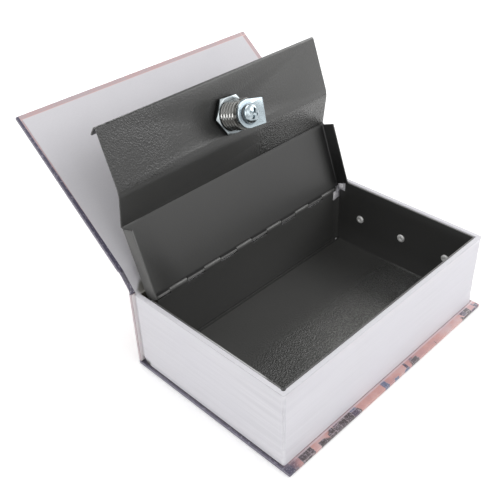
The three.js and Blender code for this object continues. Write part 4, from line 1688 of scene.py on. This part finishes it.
@dataclass
class Tray:
    """The steel box, whose hinge wall is rolled round the pin."""

    finishes: Finishes
    hinge: Hinge
    low: Triple = (3.5, 3.5, 1.8)
    high: Triple = (172.9, 105.8, 50.1)
    corner: float = 1.2
    slot_floor: float = 42.4
    notch_start: float = 101.0
    corner_slot_end: float = 10.8
    corner_slot_floor: float = 36.5
    floor_bend: float = 0.9
    edge_round: float = 0.14
    bead: Pair = (3.4, 3.4)
    bead_radius: float = 1.5
    bead_crown: float = 0.45
    bead_top: float = 50.72
    bead_root: tuple[Pair, ...] = ((1.05, -4.0), (0.0, -4.5))

    def build(self) -> None:
        """Models the tray in one sheet and gives it its thickness."""
        hinge = self.hinge
        far = self.low[0] + self.high[0]
        bench = Bench.block("steel_tray", self.low, self.high)
        bench.select(Pick.FACES, facing_up).erase()
        bench.select(Pick.FACES, lambda at, normal: abs(normal.x) > 0.5 or normal.y > 0.5)
        bench.cut((0, 0, self.slot_floor), Axis.Z.value)
        bench.select(Pick.FACES, lambda at, normal: abs(normal.x) > 0.5 and at.z > self.slot_floor)
        bench.cut((0, self.notch_start, 0), Axis.Y.value)
        bench.select(
            Pick.FACES,
            lambda at, normal: at.z > self.slot_floor
            and (normal.y > 0.5 or (abs(normal.x) > 0.5 and at.y > self.notch_start)),
        ).erase()
        marks = [self.corner_slot_end, far - self.corner_slot_end]
        for mark in marks + [mark for span in hinge.tray_spans() for mark in span]:
            bench.select(Pick.FACES, facing_spine).cut((mark, 0, 0), Axis.X.value)
        bench.select(Pick.FACES, facing_spine).cut((0, 0, self.corner_slot_floor), Axis.Z.value)
        bench.select(
            Pick.FACES,
            lambda at, normal: normal.y > 0.5 and at.z > self.corner_slot_floor
            and not self.corner_slot_end < at.x < far - self.corner_slot_end,
        ).erase()
        bench.select(
            Pick.EDGES,
            lambda at, way: abs(at.z - self.slot_floor) < 0.01 and abs(way.x) > 0.9
            and at.y > self.notch_start and within(hinge.tray_spans(), at.x),
        )
        bench.extrude((0, 0, hinge.z - self.slot_floor))
        bench.spin((0, hinge.y, hinge.z), Axis.X, -hinge.roll, hinge.roll_steps)
        bench.select(Pick.EDGES, lambda at, way: abs(way.z) > 0.9 and at.y < self.low[1] + 0.1)
        bench.bevel(self.corner, 5)
        bench.select(
            Pick.EDGES,
            lambda at, way: abs(way.x) > 0.9 and at.z < self.low[2] + 0.1 and at.y > self.high[1] - 0.1,
        ).bevel(self.floor_bend, 6)
        bench.tidy().thicken(hinge.sheet, 0.0).soften(self.edge_round)
        bench.finish(self.finishes.tray_enamel, Body.CASE, "hammered_coat", "tray")
        self._bead()

    def _bead(self) -> None:
        """Models the weld that closes the fore corner at the head."""
        angles = [math.radians(angle) for angle in range(0, 91, 15)]
        dome = [(self.bead_radius * math.sin(a), self.bead_crown * (math.cos(a) - 1)) for a in angles]
        profile = [(r, self.bead_top + drop) for r, drop in (*dome, *self.bead_root)]
        bead = Bench.lathed("corner_weld", (*self.bead, 0), profile, 32)
        bead.finish(self.finishes.weld, Body.CASE, "hammered_coat")


@dataclass
class Lid:
    """The stepped lid: one sheet with its knuckles, two flanges and a turned-back lip."""

    finishes: Finishes
    hinge: Hinge
    panel: float = 46.0
    step_run: float = 19.3
    step_depth: float = 9.9
    lock_panel: float = 35.6
    lip: float = 7.6
    lip_angle: float = 55.0
    bends: Triple = (4.6, 13.0, 0.7)
    edge_reach: float = 1.3
    flange_depth: float = 9.2
    flange_start: float = 3.2
    flange_inset: float = 1.3
    flange_bend: float = 1.5
    edge_round: float = 0.14
    open_angle: float = 110.3
    lock_along: float = 84.2
    lock_from_edge: float = 21.9
    bore: float = 9.3

    @property
    def reach(self) -> float:
        """Gives how far the lid runs from the hinge."""
        return self.panel + self.step_run + self.lock_panel

    @property
    def lock_centre(self) -> Vector:
        """Gives the lock's place on the closed lid.

        Returns:
            The middle of its hole, on the lock panel's outer face.
        """
        hinge = self.hinge
        return Vector((
            hinge.lid_start + self.lock_along,
            hinge.y - self.reach + self.lock_from_edge,
            hinge.z - hinge.bore - self.step_depth,
        ))

    def swung(self, point: Vector) -> Vector:
        """Swings a point of the closed lid open.

        Args:
            point: where it lies with the lid closed.

        Returns:
            Where it lies in the photograph.
        """
        turn = math.radians(-self.open_angle)
        axis = Vector((point.x, self.hinge.y, self.hinge.z))
        return axis + Matrix.Rotation(turn, 3, "X") @ (point - axis)

    def swing(self, bench: Bench) -> Bench:
        """Turns a piece of the closed lid to where the photograph has it."""
        return bench.turn_all((0, self.hinge.y, self.hinge.z), Axis.X, -self.open_angle)

    def build(self) -> None:
        """Models the lid."""
        hinge = self.hinge
        start, end = hinge.lid_start, hinge.lid_start + hinge.lid_length
        level = hinge.z - hinge.bore
        edge = hinge.y - hinge.bore - hinge.sheet - hinge.slot_margin
        slope = math.degrees(math.atan2(self.step_depth, self.step_run))
        near = hinge.sheet / 2 * math.tan(math.radians(slope / 2))
        deep = hinge.sheet / 2 * math.tan(math.radians((180 - self.lip_angle) / 2))
        bend_a = hinge.y - self.panel - near
        bend_b = bend_a - self.step_run
        bend_c = hinge.y - self.reach + deep - self.edge_reach
        bench = Bench.block("steel_lid", (start, bend_a, level), (end, edge, level))
        bench.select(Pick.EDGES, lambda at, way: abs(at.y - bend_a) < 0.01 and abs(way.x) > 0.9)
        bench.extrude((0, -self.step_run, -self.step_depth))
        bench.extrude((0, bend_c - bend_b, 0))
        lip = math.radians(self.lip_angle)
        run = self.lip - deep
        bench.extrude((0, run * math.cos(lip), run * math.sin(lip)))
        for mark in [m for span in hinge.lid_spans() for m in span][1:]:
            bench.select(Pick.FACES, lambda at, _: at.y > bend_a).cut((mark, 0, 0), Axis.X.value)
        bench.select(
            Pick.EDGES,
            lambda at, way: abs(at.y - edge) < 0.01 and abs(way.x) > 0.9
            and within(hinge.lid_spans(), at.x),
        )
        bench.extrude((0, hinge.y - edge, 0))
        bench.spin((0, hinge.y, hinge.z), Axis.X, hinge.roll, hinge.roll_steps)
        flange = (bend_a + self.flange_inset, hinge.y - self.flange_start)
        for mark in flange:
            bench.select(Pick.FACES, lambda at, _: bend_a < at.y < edge)
            bench.cut((0, mark, 0), Axis.Y.value)
        bench.select(Pick.EDGES, lambda at, way: self._on_fold(at, way, flange))
        bench.extrude((0, 0, -self.flange_depth - hinge.sheet))
        bench.select(
            Pick.EDGES, lambda at, way: self._on_fold(at, way, flange) and abs(at.z - level) < 0.01
        ).bevel(self.flange_bend, 6)
        turns = (slope, slope, 180 - self.lip_angle)
        for mark, angle, radius in zip((bend_a, bend_b, bend_c), turns, self.bends):
            bench.select(Pick.EDGES, lambda at, way: abs(way.x) > 0.9 and abs(at.y - mark) < 0.05)
            bench.bevel(radius * math.tan(math.radians(angle / 2)), 8)
        self._face_up(bench.tidy())
        bench.thicken(hinge.sheet, -1.0)
        bench.combine(Bench.post("lid_bore", self.lock_centre, self.bore, 6, 48), "DIFFERENCE")
        self.swing(bench.soften(self.edge_round))
        enamel = LidEnamel(
            origin=(start, hinge.y, hinge.z), tilt=-self.open_angle, end=hinge.lid_length,
            panel=self.panel, step=self.panel + self.step_run,
        ).make()
        bench.finish(enamel, Body.LID, "hammered_coat", "lid")

    def _on_fold(self, at: Vector, way: Vector, span: Pair) -> bool:
        """Says whether an edge runs along one of the hinge panel's ends.

        Args:
            at: the edge's middle.
            way: its direction.
            span: the part of the end that counts.

        Returns:
            Whether it does.
        """
        start = self.hinge.lid_start
        end = start + self.hinge.lid_length
        beside = at.x < start + 0.01 or at.x > end - 0.01
        return abs(way.y) > 0.9 and span[0] < at.y < span[1] and beside

    def _face_up(self, bench: Bench) -> None:
        """Turns the sheet's faces so that the hinge panel's faces look up.

        Args:
            bench: the lid, still without its thickness.
        """
        mesh = bmesh.from_edit_mesh(bench.piece.data)
        panel = max(mesh.faces, key=lambda face: face.calc_area())
        if panel.normal.z < 0:
            bench.select_all()
            bpy.ops.mesh.flip_normals()


@dataclass
class CamLock:
    """The cam lock: head, threaded barrel with two flats, nut, washers, cam and screw."""

    finishes: Finishes
    lid: Lid
    barrel_radius: float = 9.0
    flat: float = 8.2
    thread_depth: float = 0.45
    thread_pitch: float = 1.2
    thread_crest: Pair = (0.4, 0.6)
    barrel_reach: float = 14.4
    bore: float = 6.3
    head_radius: float = 11.0
    head_height: float = 2.4
    plug_face: float = 7.5
    plug_sink: float = 1.0
    nut_flats: float = 20.9
    nut_thickness: float = 3.6
    nut_turn: float = 4.3
    nut_chamfer: float = 0.95
    nut_play: float = 0.1
    nut_mouth: float = 1.3
    plug_turn: float = 8.9
    cam_radius: float = 8.1
    cam_reach: float = 11.8
    cam_half: float = 7.3
    cam_corner: float = 0.7
    cam_thickness: float = 1.9
    cam_hole: float = 3.4
    washer: float = 1.0
    spring_washer: float = 0.8
    screw_radius: float = 5.2
    screw_height: float = 3.2
    screw_turn: float = 20.0
    screw_side: float = 0.8
    screw_shank: Pair = (2.0, 7.0)
    recess: Triple = (3.1, 0.8, 2.1)
    recess_round: float = 1.5
    gap: float = 0.2
    nut_round: float = 0.12
    cam_round: float = 0.26
    dome_step: float = 11.0
    dome_steps: int = 8
    sides: int = 96
    bore_sides: int = 64
    screw_sides: int = 72
    cam_steps: int = 60

    def build(self) -> None:
        """Models the lock's pieces, closed, and swings them open with the lid."""
        self._barrel()
        self._nut()
        self._cam()
        self._screw()

    def _at(self, x: float, y: float, z: float) -> Vector:
        """Gives a point from the lock's centre."""
        return self.lid.lock_centre + Vector((x, y, z))

    def _seat(self, level: float) -> tuple[Point, float]:
        """Gives a finish its origin on the lock's axis, with the lid open, and its tilt."""
        return self.lid.swung(self._at(0, 0, level)), -self.lid.open_angle

    def _lathed(self, name: str, profile: Sequence[Point]) -> Bench:
        """Turns a profile of radii and heights about the lock's axis."""
        return Bench.lathed(name, self.lid.lock_centre, profile, self.sides)

    def _barrel(self) -> None:
        """Models the barrel: a screwed tube with two flats, and its round head."""
        low = -self.lid.hinge.sheet - self.barrel_reach
        root = self.barrel_radius - self.thread_depth
        pitch = self.thread_pitch
        start = low - 2 * pitch
        crest = [(self.barrel_radius, start + pitch * share) for share in self.thread_crest]
        points = [(root, start), *crest, (root, start + pitch)]
        thread = Bench.chain("lock_body", [self._at(r, 0, z) for r, z in points])
        turns = math.ceil((self.head_height - start) / pitch) + 1
        bpy.ops.object.mode_set(mode="OBJECT")
        centre = bpy.data.objects.new("thread_axis", None)
        centre.location = place(self.lid.lock_centre)
        bpy.context.scene.collection.objects.link(centre)
        bpy.context.view_layer.update()
        bpy.ops.object.mode_set(mode="EDIT")
        thread.modify(
            "SCREW", axis="Z", object=centre, angle=2 * math.pi, steps=72, render_steps=72,
            screw_offset=pitch * MM, iterations=turns, use_merge_vertices=True,
            merge_threshold=TINY, use_normal_calculate=True,
        )
        bpy.data.objects.remove(centre)
        thread.merge(TINY * 5)
        for level, side in ((low, -1), (self.gap + 0.3, 1)):
            thread.cut_all(self._at(0, 0, level), (0, 0, side), clear=True)
        for side in (-1, 1):
            thread.cut_all(self._at(0, side * self.flat, 0), (0, side, 0), clear=True)
        thread.tidy()
        top = self.gap + self.head_height
        rim, face, sunk = self.head_radius, self.plug_face, top - self.plug_sink
        head = self._lathed("lock_head", [
            (0, self.gap), (rim, self.gap), (rim, top - 0.9), (rim - 0.25, top - 0.35), (rim - 0.9, top),
            (face + 0.4, top), (face, top - 0.4), (face, sunk), (0, sunk),
        ])
        bore = Bench.post("lock_bore", self._at(0, 0, low / 2), self.bore, 2 * abs(low), self.bore_sides)
        thread.combine(head, "UNION").combine(bore, "DIFFERENCE")
        self.lid.swing(thread)
        nickel = ThreadNickel(*self._seat(0), pitch).make()
        thread.finish(nickel, Body.LID, "nickel", "lock_barrel")

    def _nut(self) -> None:
        """Models the hex nut with its corners chamfered by a cone."""
        top = -self.lid.hinge.sheet - self.gap
        low = top - self.nut_thickness
        corner = self.nut_flats / math.sqrt(3)
        middle = (top + low) / 2
        nut = Bench.post("lock_hex_nut", self._at(0, 0, middle), corner, self.nut_thickness, 6)
        nut.turn_all(self.lid.lock_centre, Axis.Z, 30 + self.nut_turn)
        face = self.nut_flats / 2
        cone = self._lathed("nut_cone", [
            (0, low), (face - 0.1, low), (corner + 0.1, low + self.nut_chamfer),
            (corner + 0.1, top - self.nut_chamfer), (face - 0.1, top), (0, top),
        ])
        nut.combine(cone, "INTERSECT")
        mouth, play = self.barrel_radius + self.nut_mouth, self.barrel_radius + self.nut_play
        bore = self._lathed("nut_bore", [
            (0, low - 1), (mouth, low - 1), (play, low + 0.3), (play, top + 1), (0, top + 1),
        ])
        flat = self.flat + self.nut_play
        slab = Bench.block("nut_slab", self._at(-20, -flat, low - 2), self._at(20, flat, top + 2))
        nut.combine(bore.combine(slab, "INTERSECT"), "DIFFERENCE").soften(self.nut_round, 2, 25)
        self.lid.swing(nut)
        zinc = NutZinc(*self._seat(low), self.nut_chamfer, face - 0.3).make()
        nut.finish(zinc, Body.LID, "bright_zinc", "lock_nut")

    def _turned(self, bench: Bench) -> Bench:
        """Turns a piece of the closed plug to where it rests, and swings it open with the lid."""
        return self.lid.swing(bench.turn_all(self.lid.lock_centre, Axis.Z, self.plug_turn))

    def _cam_top(self) -> float:
        """Gives the height of the cam's upper face."""
        return -self.lid.hinge.sheet - self.barrel_reach - self.gap - self.washer - self.gap

    def _cam(self) -> None:
        """Models the cam: a round end on the tail, and an arm that narrows to a square end."""
        top = self._cam_top()
        reach_to = math.hypot(self.cam_reach, self.cam_half)
        lean = math.degrees(math.atan2(self.cam_half, self.cam_reach))
        start = lean + math.degrees(math.acos(self.cam_radius / reach_to))
        outline = [(self.cam_reach, -self.cam_half), (self.cam_reach, self.cam_half)]
        for step in range(self.cam_steps + 1):
            angle = start + (360 - 2 * start) * step / self.cam_steps
            outline.append(around((0, 0), self.cam_radius, angle))
        outline.append(outline[0])
        cam = Bench.chain("cam_plate", [self._at(x, y, top) for x, y in outline])
        cam.tidy().select_all(Pick.EDGES)
        bpy.ops.mesh.edge_face_add()
        cam.extrude((0, 0, -self.cam_thickness)).tidy()
        arm_end = self._at(self.cam_reach - 0.1, 0, 0).x
        cam.select(Pick.EDGES, lambda at, way: abs(way.z) > 0.9 and at.x > arm_end)
        cam.bevel(self.cam_corner, 4)
        low, half = top - self.cam_thickness, self.cam_hole
        hole = Bench.block("cam_hole", self._at(-half, -half, low - 1), self._at(half, half, top + 1))
        self._turned(cam.combine(hole, "DIFFERENCE").soften(self.cam_round, 3, 40))
        zinc = CamZinc(*self._seat(low), self.screw_radius + 0.2).make()
        cam.finish(zinc, Body.PLUG, "bright_zinc", "lock_cam")

    def _screw(self) -> None:
        """Models the pan-head screw with its cross recess."""
        top = self._cam_top() - self.cam_thickness - 2 * self.gap - self.spring_washer
        low = top - self.screw_height
        radius = self.screw_radius
        dome = self.screw_height - self.screw_side
        profile = [(0, low)]
        for step in range(1, self.dome_steps + 1):
            angle = math.radians(step * self.dome_step)
            profile.append((radius * math.sin(angle), low + dome * (1 - math.cos(angle))))
        shank, reach_up = self.screw_shank
        profile += [(radius, top), (shank, top), (shank, top + reach_up), (0, top + reach_up)]
        screw = Bench.lathed("pan_screw", self.lid.lock_centre, profile, self.screw_sides)
        run, half, depth = self.recess
        bottom = self._at(0, 0, low + 1).z
        for turn in (0, 90):
            slot = Bench.block(
                "screw_slot", self._at(-run, -half, low - 1), self._at(run, half, low + depth)
            )
            slot.select(Pick.EDGES, lambda at, way: abs(way.y) > 0.9 and at.z > bottom)
            slot.bevel(self.recess_round, 3)
            slot.turn_all(self.lid.lock_centre, Axis.Z, turn + self.screw_turn)
            screw.combine(slot, "DIFFERENCE")
        self._turned(screw)
        screw.finish(self.finishes.zinc, Body.PLUG, "bright_zinc", "cam_screw")


@dataclass
class Rivets:
    """Dome-headed blind rivets through the tray's short walls."""

    finishes: Finishes
    across: tuple[float, ...] = (19.9, 53.3, 86.7)
    height: float = 26.2
    walls: Pair = (3.9, 172.5)
    profile: tuple[Pair, ...] = (
        (0, -2.8), (1.3, -2.8), (1.3, 0.05), (2.75, 0.05), (2.75, 0.3), (2.6, 0.55), (2.3, 0.78),
        (1.8, 0.95), (1.35, 1.0), (1.15, 0.94), (1.0, 0.6), (0.45, 0.5), (0, 0.55),
    )

    def build(self) -> None:
        """Models one rivet and sets a copy at each place."""
        base = (0, 0, 0)
        first = Bench.lathed("rivet", base, self.profile, 40)
        for wall, side, name in zip(self.walls, (1, -1), ("head", "tail")):
            for number, y in enumerate(self.across, start=1):
                node = f"rivet_{name}_{number}"
                rivet = first.copy(f"blind_{node}").turn_all(base, Axis.Y, 90 * side)
                rivet.move((wall, y, self.height))
                rivet.finish(self.finishes.rivet, Body.CASE, "rivet_alloy", node)
        first.sweep()
        bpy.data.objects.remove(first.piece)


@dataclass
class Case:
    """The boards, their paper, and the cloth and lining that cross the two creases."""

    finishes: Finishes
    head: float = -1.8
    tail: float = 178.2
    fore: float = -5.6
    spine: float = 114.1
    spine_in: float = 111.9
    thickness: float = 2.2
    paper: float = 0.25
    top: float = 50.5
    crease: Pair = (112.1, 51.6)
    joint_width: float = 12.7
    joint_half: float = 0.8
    joint_angle: float = 52.5
    cover_angle: float = 40.0
    cover_width: float = 105.2
    cloth: float = 1.3
    lining: float = 0.12
    lining_end: float = 6.0
    lining_start: float = 3.0
    fore_margin: float = 3.0
    tail_margin: float = 3.7
    head_margin: float = 2.4
    head_skew: float = 1.3
    gutter: float = 6.5
    edge_round: float = 0.45
    cloth_round: float = 0.3
    cloth_runs: tuple[float, ...] = (-0.1, 1.5, 4.0, 7.0, 10.0)
    lining_runs: tuple[float, ...] = (6.0, 9.0)
    turned_margin: float = 0.35
    turned_face: float = 0.1

    def build(self) -> None:
        """Models the back cover, the spine, the joint and the front cover."""
        # the linings' paper carries a painted shadow near the first crease
        self._gutter = Endpaper(
            "gutter_paper", (self.head, *self.crease), self.joint_angle, self.gutter
        ).make()
        self._back()
        self._spine()
        self._joint()
        self._spine_hinge()
        self._front()

    @property
    def second(self) -> Pair:
        """Gives the second crease's place across the book."""
        return around(self.crease, self.joint_width, self.joint_angle)

    @staticmethod
    def _along(start: Point, angle: float, run: float, rise: float) -> Pair:
        """Gives a point by its run from a crease and its rise toward the inner side."""
        return around(around(start, run, angle), rise, angle + 90)

    @property
    def _lined(self) -> Pair:
        """Gives where the linings start and end along the spine."""
        return self.head + self.head_margin, self.tail - self.tail_margin

    def _on_joint(self, run: float, rise: float) -> Pair:
        """Gives a point by its run along the joint from the first crease."""
        return self._along(self.crease, self.joint_angle, run, rise)

    def _on_cover(self, run: float, rise: float) -> Pair:
        """Gives a point by its run along the cover from the second crease."""
        return self._along(self.second, self.cover_angle, run, rise)

    @staticmethod
    def _curve(first: Point, corner: Point, last: Point, steps: int) -> list[Pair]:
        """Gives the points of a soft bend.

        Args:
            first: where it starts.
            corner: the point that it is drawn toward.
            last: where it ends.
            steps: the number of steps between them.

        Returns:
            The points, with both ends.
        """
        points = []
        for share in (step / steps for step in range(steps + 1)):
            near, mid, far = (1 - share) ** 2, 2 * share * (1 - share), share ** 2
            points.append(tuple(
                near * a + mid * b + far * c for a, b, c in zip(first, corner, last)
            ))
        return points

    @staticmethod
    def _strip(name: str, path: Sequence[Point], low: float, high: float,
               thickness: float) -> Bench:
        """Models a strip along the spine from its line across the book.

        Args:
            name: the piece's name.
            path: the middle of its thickness, as pairs of Y and Z.
            low: where it starts along the spine.
            high: where it ends.
            thickness: how thick it is.

        Returns:
            The bench with the strip on it.
        """
        bench = Bench.chain(name, [(low, y, z) for y, z in path])
        bench.select_all(Pick.EDGES).extrude((high - low, 0, 0))
        return bench.tidy().thicken(thickness, 0.0).tidy()

    def _wrap(self, name: str, low: Point, high: Point) -> Bench:
        """Wraps a board in paper: a rounded hollow shell that the board fills."""
        bench = Bench.block(name, low, high).select_all(Pick.EDGES).bevel(self.edge_round, 3)
        return bench.thicken(self.paper, -1.0)

    def _back(self) -> None:
        """Models the back cover's paper."""
        low = (self.head, self.fore, -self.thickness)
        paper = PrintedPaper("back_print", low, 0.0, seam=-self.fore).make()
        wrap = self._wrap("back_cover_paper", low, (self.tail, self.spine, 0))
        wrap.finish(paper, Body.CASE, "printed_paper", "back_cover_wrap")

    def _spine(self) -> None:
        """Models the spine's paper."""
        low = (self.head, self.spine_in, 0.2)
        wrap = self._wrap("spine_paper", low, (self.tail, self.spine, self.top))
        low = (self.head, self.spine, 0.2)
        paper = PrintedPaper("spine_print", low, 90.0, bare_depth=0.3, brown_depth=1.98).make()
        wrap.finish(paper, Body.CASE, "spine_paper", "spine_wrap")

    def _joint(self) -> None:
        """Models the cloth between the creases and its lining."""
        width = self.joint_width
        middle = self.lining / 2
        paper = PrintedPaper("joint_print", (self.head, *self.crease), self.joint_angle).make()
        path = [self._on_joint(run, 0) for run in (*self.cloth_runs, width - 1.6)]
        path += self._curve(
            self._on_joint(width - 1.2, 0), self.second, self._on_cover(1.0, -0.3), 8
        )
        path += [self._on_cover(1.7, -0.45)]
        cloth = self._strip("joint_cloth", path, self.head, self.tail, self.cloth)
        ends = ((self.head, *self._on_joint(width - 1.4, 0)), (self.head, *self._on_cover(1.4, 0)))
        fold = Fold(Body.JOINT, Body.COVER, *ends)
        cloth.soften(self.cloth_round).finish(paper, fold, "spine_paper", "front_joint")
        level = self.joint_half - middle
        path = [self._on_joint(run, level) for run in (self.lining_start, *self.lining_runs)]
        path += self._curve(
            self._on_joint(width - 1.5, level), self._on_joint(width, level),
            self._on_cover(1.5, level), 8,
        )
        path += [self._on_cover(run, level) for run in (2.5, self.lining_end)]
        lining = self._strip("joint_lining", path, *self._lined, self.lining)
        lining.finish(self._gutter, fold, "white_paper")

    def _spine_hinge(self) -> None:
        """Models the paper and the lining that bend between the spine and the joint."""
        middle = (self.spine + self.spine_in) / 2
        paper = PrintedPaper("hinge_print", (self.head, *self.crease), self.joint_angle).make()
        path = [(middle, self.top - 0.7)]
        path += self._curve(
            (middle, self.top - 0.2), (middle - 0.3, self.top + 0.9), self._on_joint(1.6, 0), 10
        )
        path += [self._on_joint(2.6, 0)]
        hinge = self._strip("spine_hinge", path, self.head, self.tail, self.cloth)
        ends = ((self.head, middle, self.top), (self.head, *self._on_joint(1.3, 0)))
        fold = Fold(Body.CASE, Body.JOINT, *ends)
        hinge.soften(self.cloth_round).finish(paper, fold, "spine_paper")
        level = self.joint_half - self.lining / 2
        base = self.top + self.lining / 2 + 0.02
        path = [(self.spine_in - 2.9, base), (self.spine_in - 2.3, base)]
        path += self._curve(
            (self.spine_in - 1.9, base), (self.spine_in - 1.3, base), self._on_joint(0.4, level), 12
        )
        path += [self._on_joint(run, level) for run in (1.4, self.lining_start)]
        lining = self._strip("hinge_lining", path, *self._lined, self.lining)
        ends = ((self.head, self.spine_in - 2.2, base), (self.head, *self._on_joint(0.5, level)))
        lining.finish(self._gutter, Fold(Body.CASE, Body.JOINT, *ends), "white_paper")

    def _front(self) -> None:
        """Models the front cover's paper and its endpaper."""
        y, z = self.second
        crease = (0, y, z)
        half = self.joint_half
        inner = z + half - 0.25
        start = y + half + 0.3
        end = y + self.cover_width
        paper = PrintedPaper("front_print", (self.head, y, z), self.cover_angle).make()
        wrap = self._wrap(
            "front_cover_paper", (self.head, start, inner - self.thickness), (self.tail, end, inner)
        )
        wrap.turn_all(crease, Axis.X, self.cover_angle)
        wrap.finish(paper, Body.COVER, "printed_paper", "front_cover_wrap")
        margin = TurnedPaper(
            "turned_paper", (self.head, y, z), self.cover_angle,
            self.cover_width - self.fore_margin, self.tail - self.head - self.tail_margin,
        ).make()
        trim, face = self.turned_margin, inner + self.turned_face
        low = (self.head + trim, start + 0.1, inner + 0.01)
        turn_in = Bench.block("front_turned_edge", low, (self.tail - trim, end - trim, face))
        turn_in.turn_all(crease, Axis.X, self.cover_angle)
        turn_in.finish(margin, Body.COVER, "spine_paper")
        head, tail = self._lined
        low = (head, y + self.lining_end, face)
        sheet = Bench.block("front_pastedown", low, (tail, end - self.fore_margin, z + half))
        sheet.select(Pick.POINTS, lambda at, _: at.x < self.head + 1 and at.y > end - 10)
        sheet.move((self.head_skew, 0, 0)).turn_all(crease, Axis.X, self.cover_angle)
        sheet.finish(self.finishes.endpaper, Body.COVER, "white_paper", "front_endpaper")


def dress_nodes(finishes: Finishes) -> None:
    """Gives each CAD node that stays its material.

    Args:
        finishes: the book's materials.
    """
    wafers = [f"wafer_{number}" for number in range(1, 5)]
    springs = [name.replace("wafer", "wafer_spring") for name in wafers]
    kept = {
        finishes.board: ["back_cover_board", "spine_board", "front_cover_board"],
        finishes.enamel: ["strike"],
        finishes.steel: ["hinge_pin", "spring_washer", *springs],
        finishes.nickel: ["lock_plug", "stop_washer"],
        finishes.brass: wafers,
    }
    for material, names in kept.items():
        for name in names:
            wear(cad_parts[name], material)


def main() -> None:
    """Builds the scene in order."""
    logging.basicConfig(level=logging.INFO, format="%(message)s")
    Studio().build()
    finishes = Finishes()
    hinge = Hinge()
    lid = Lid(finishes, hinge)
    Case(finishes).build()
    PageBlock(finishes).build()
    Tray(finishes, hinge).build()
    lid.build()
    CamLock(finishes, lid).build()
    Rivets(finishes).build()
    dress_nodes(finishes)


if __name__ == "__main__":
    main()
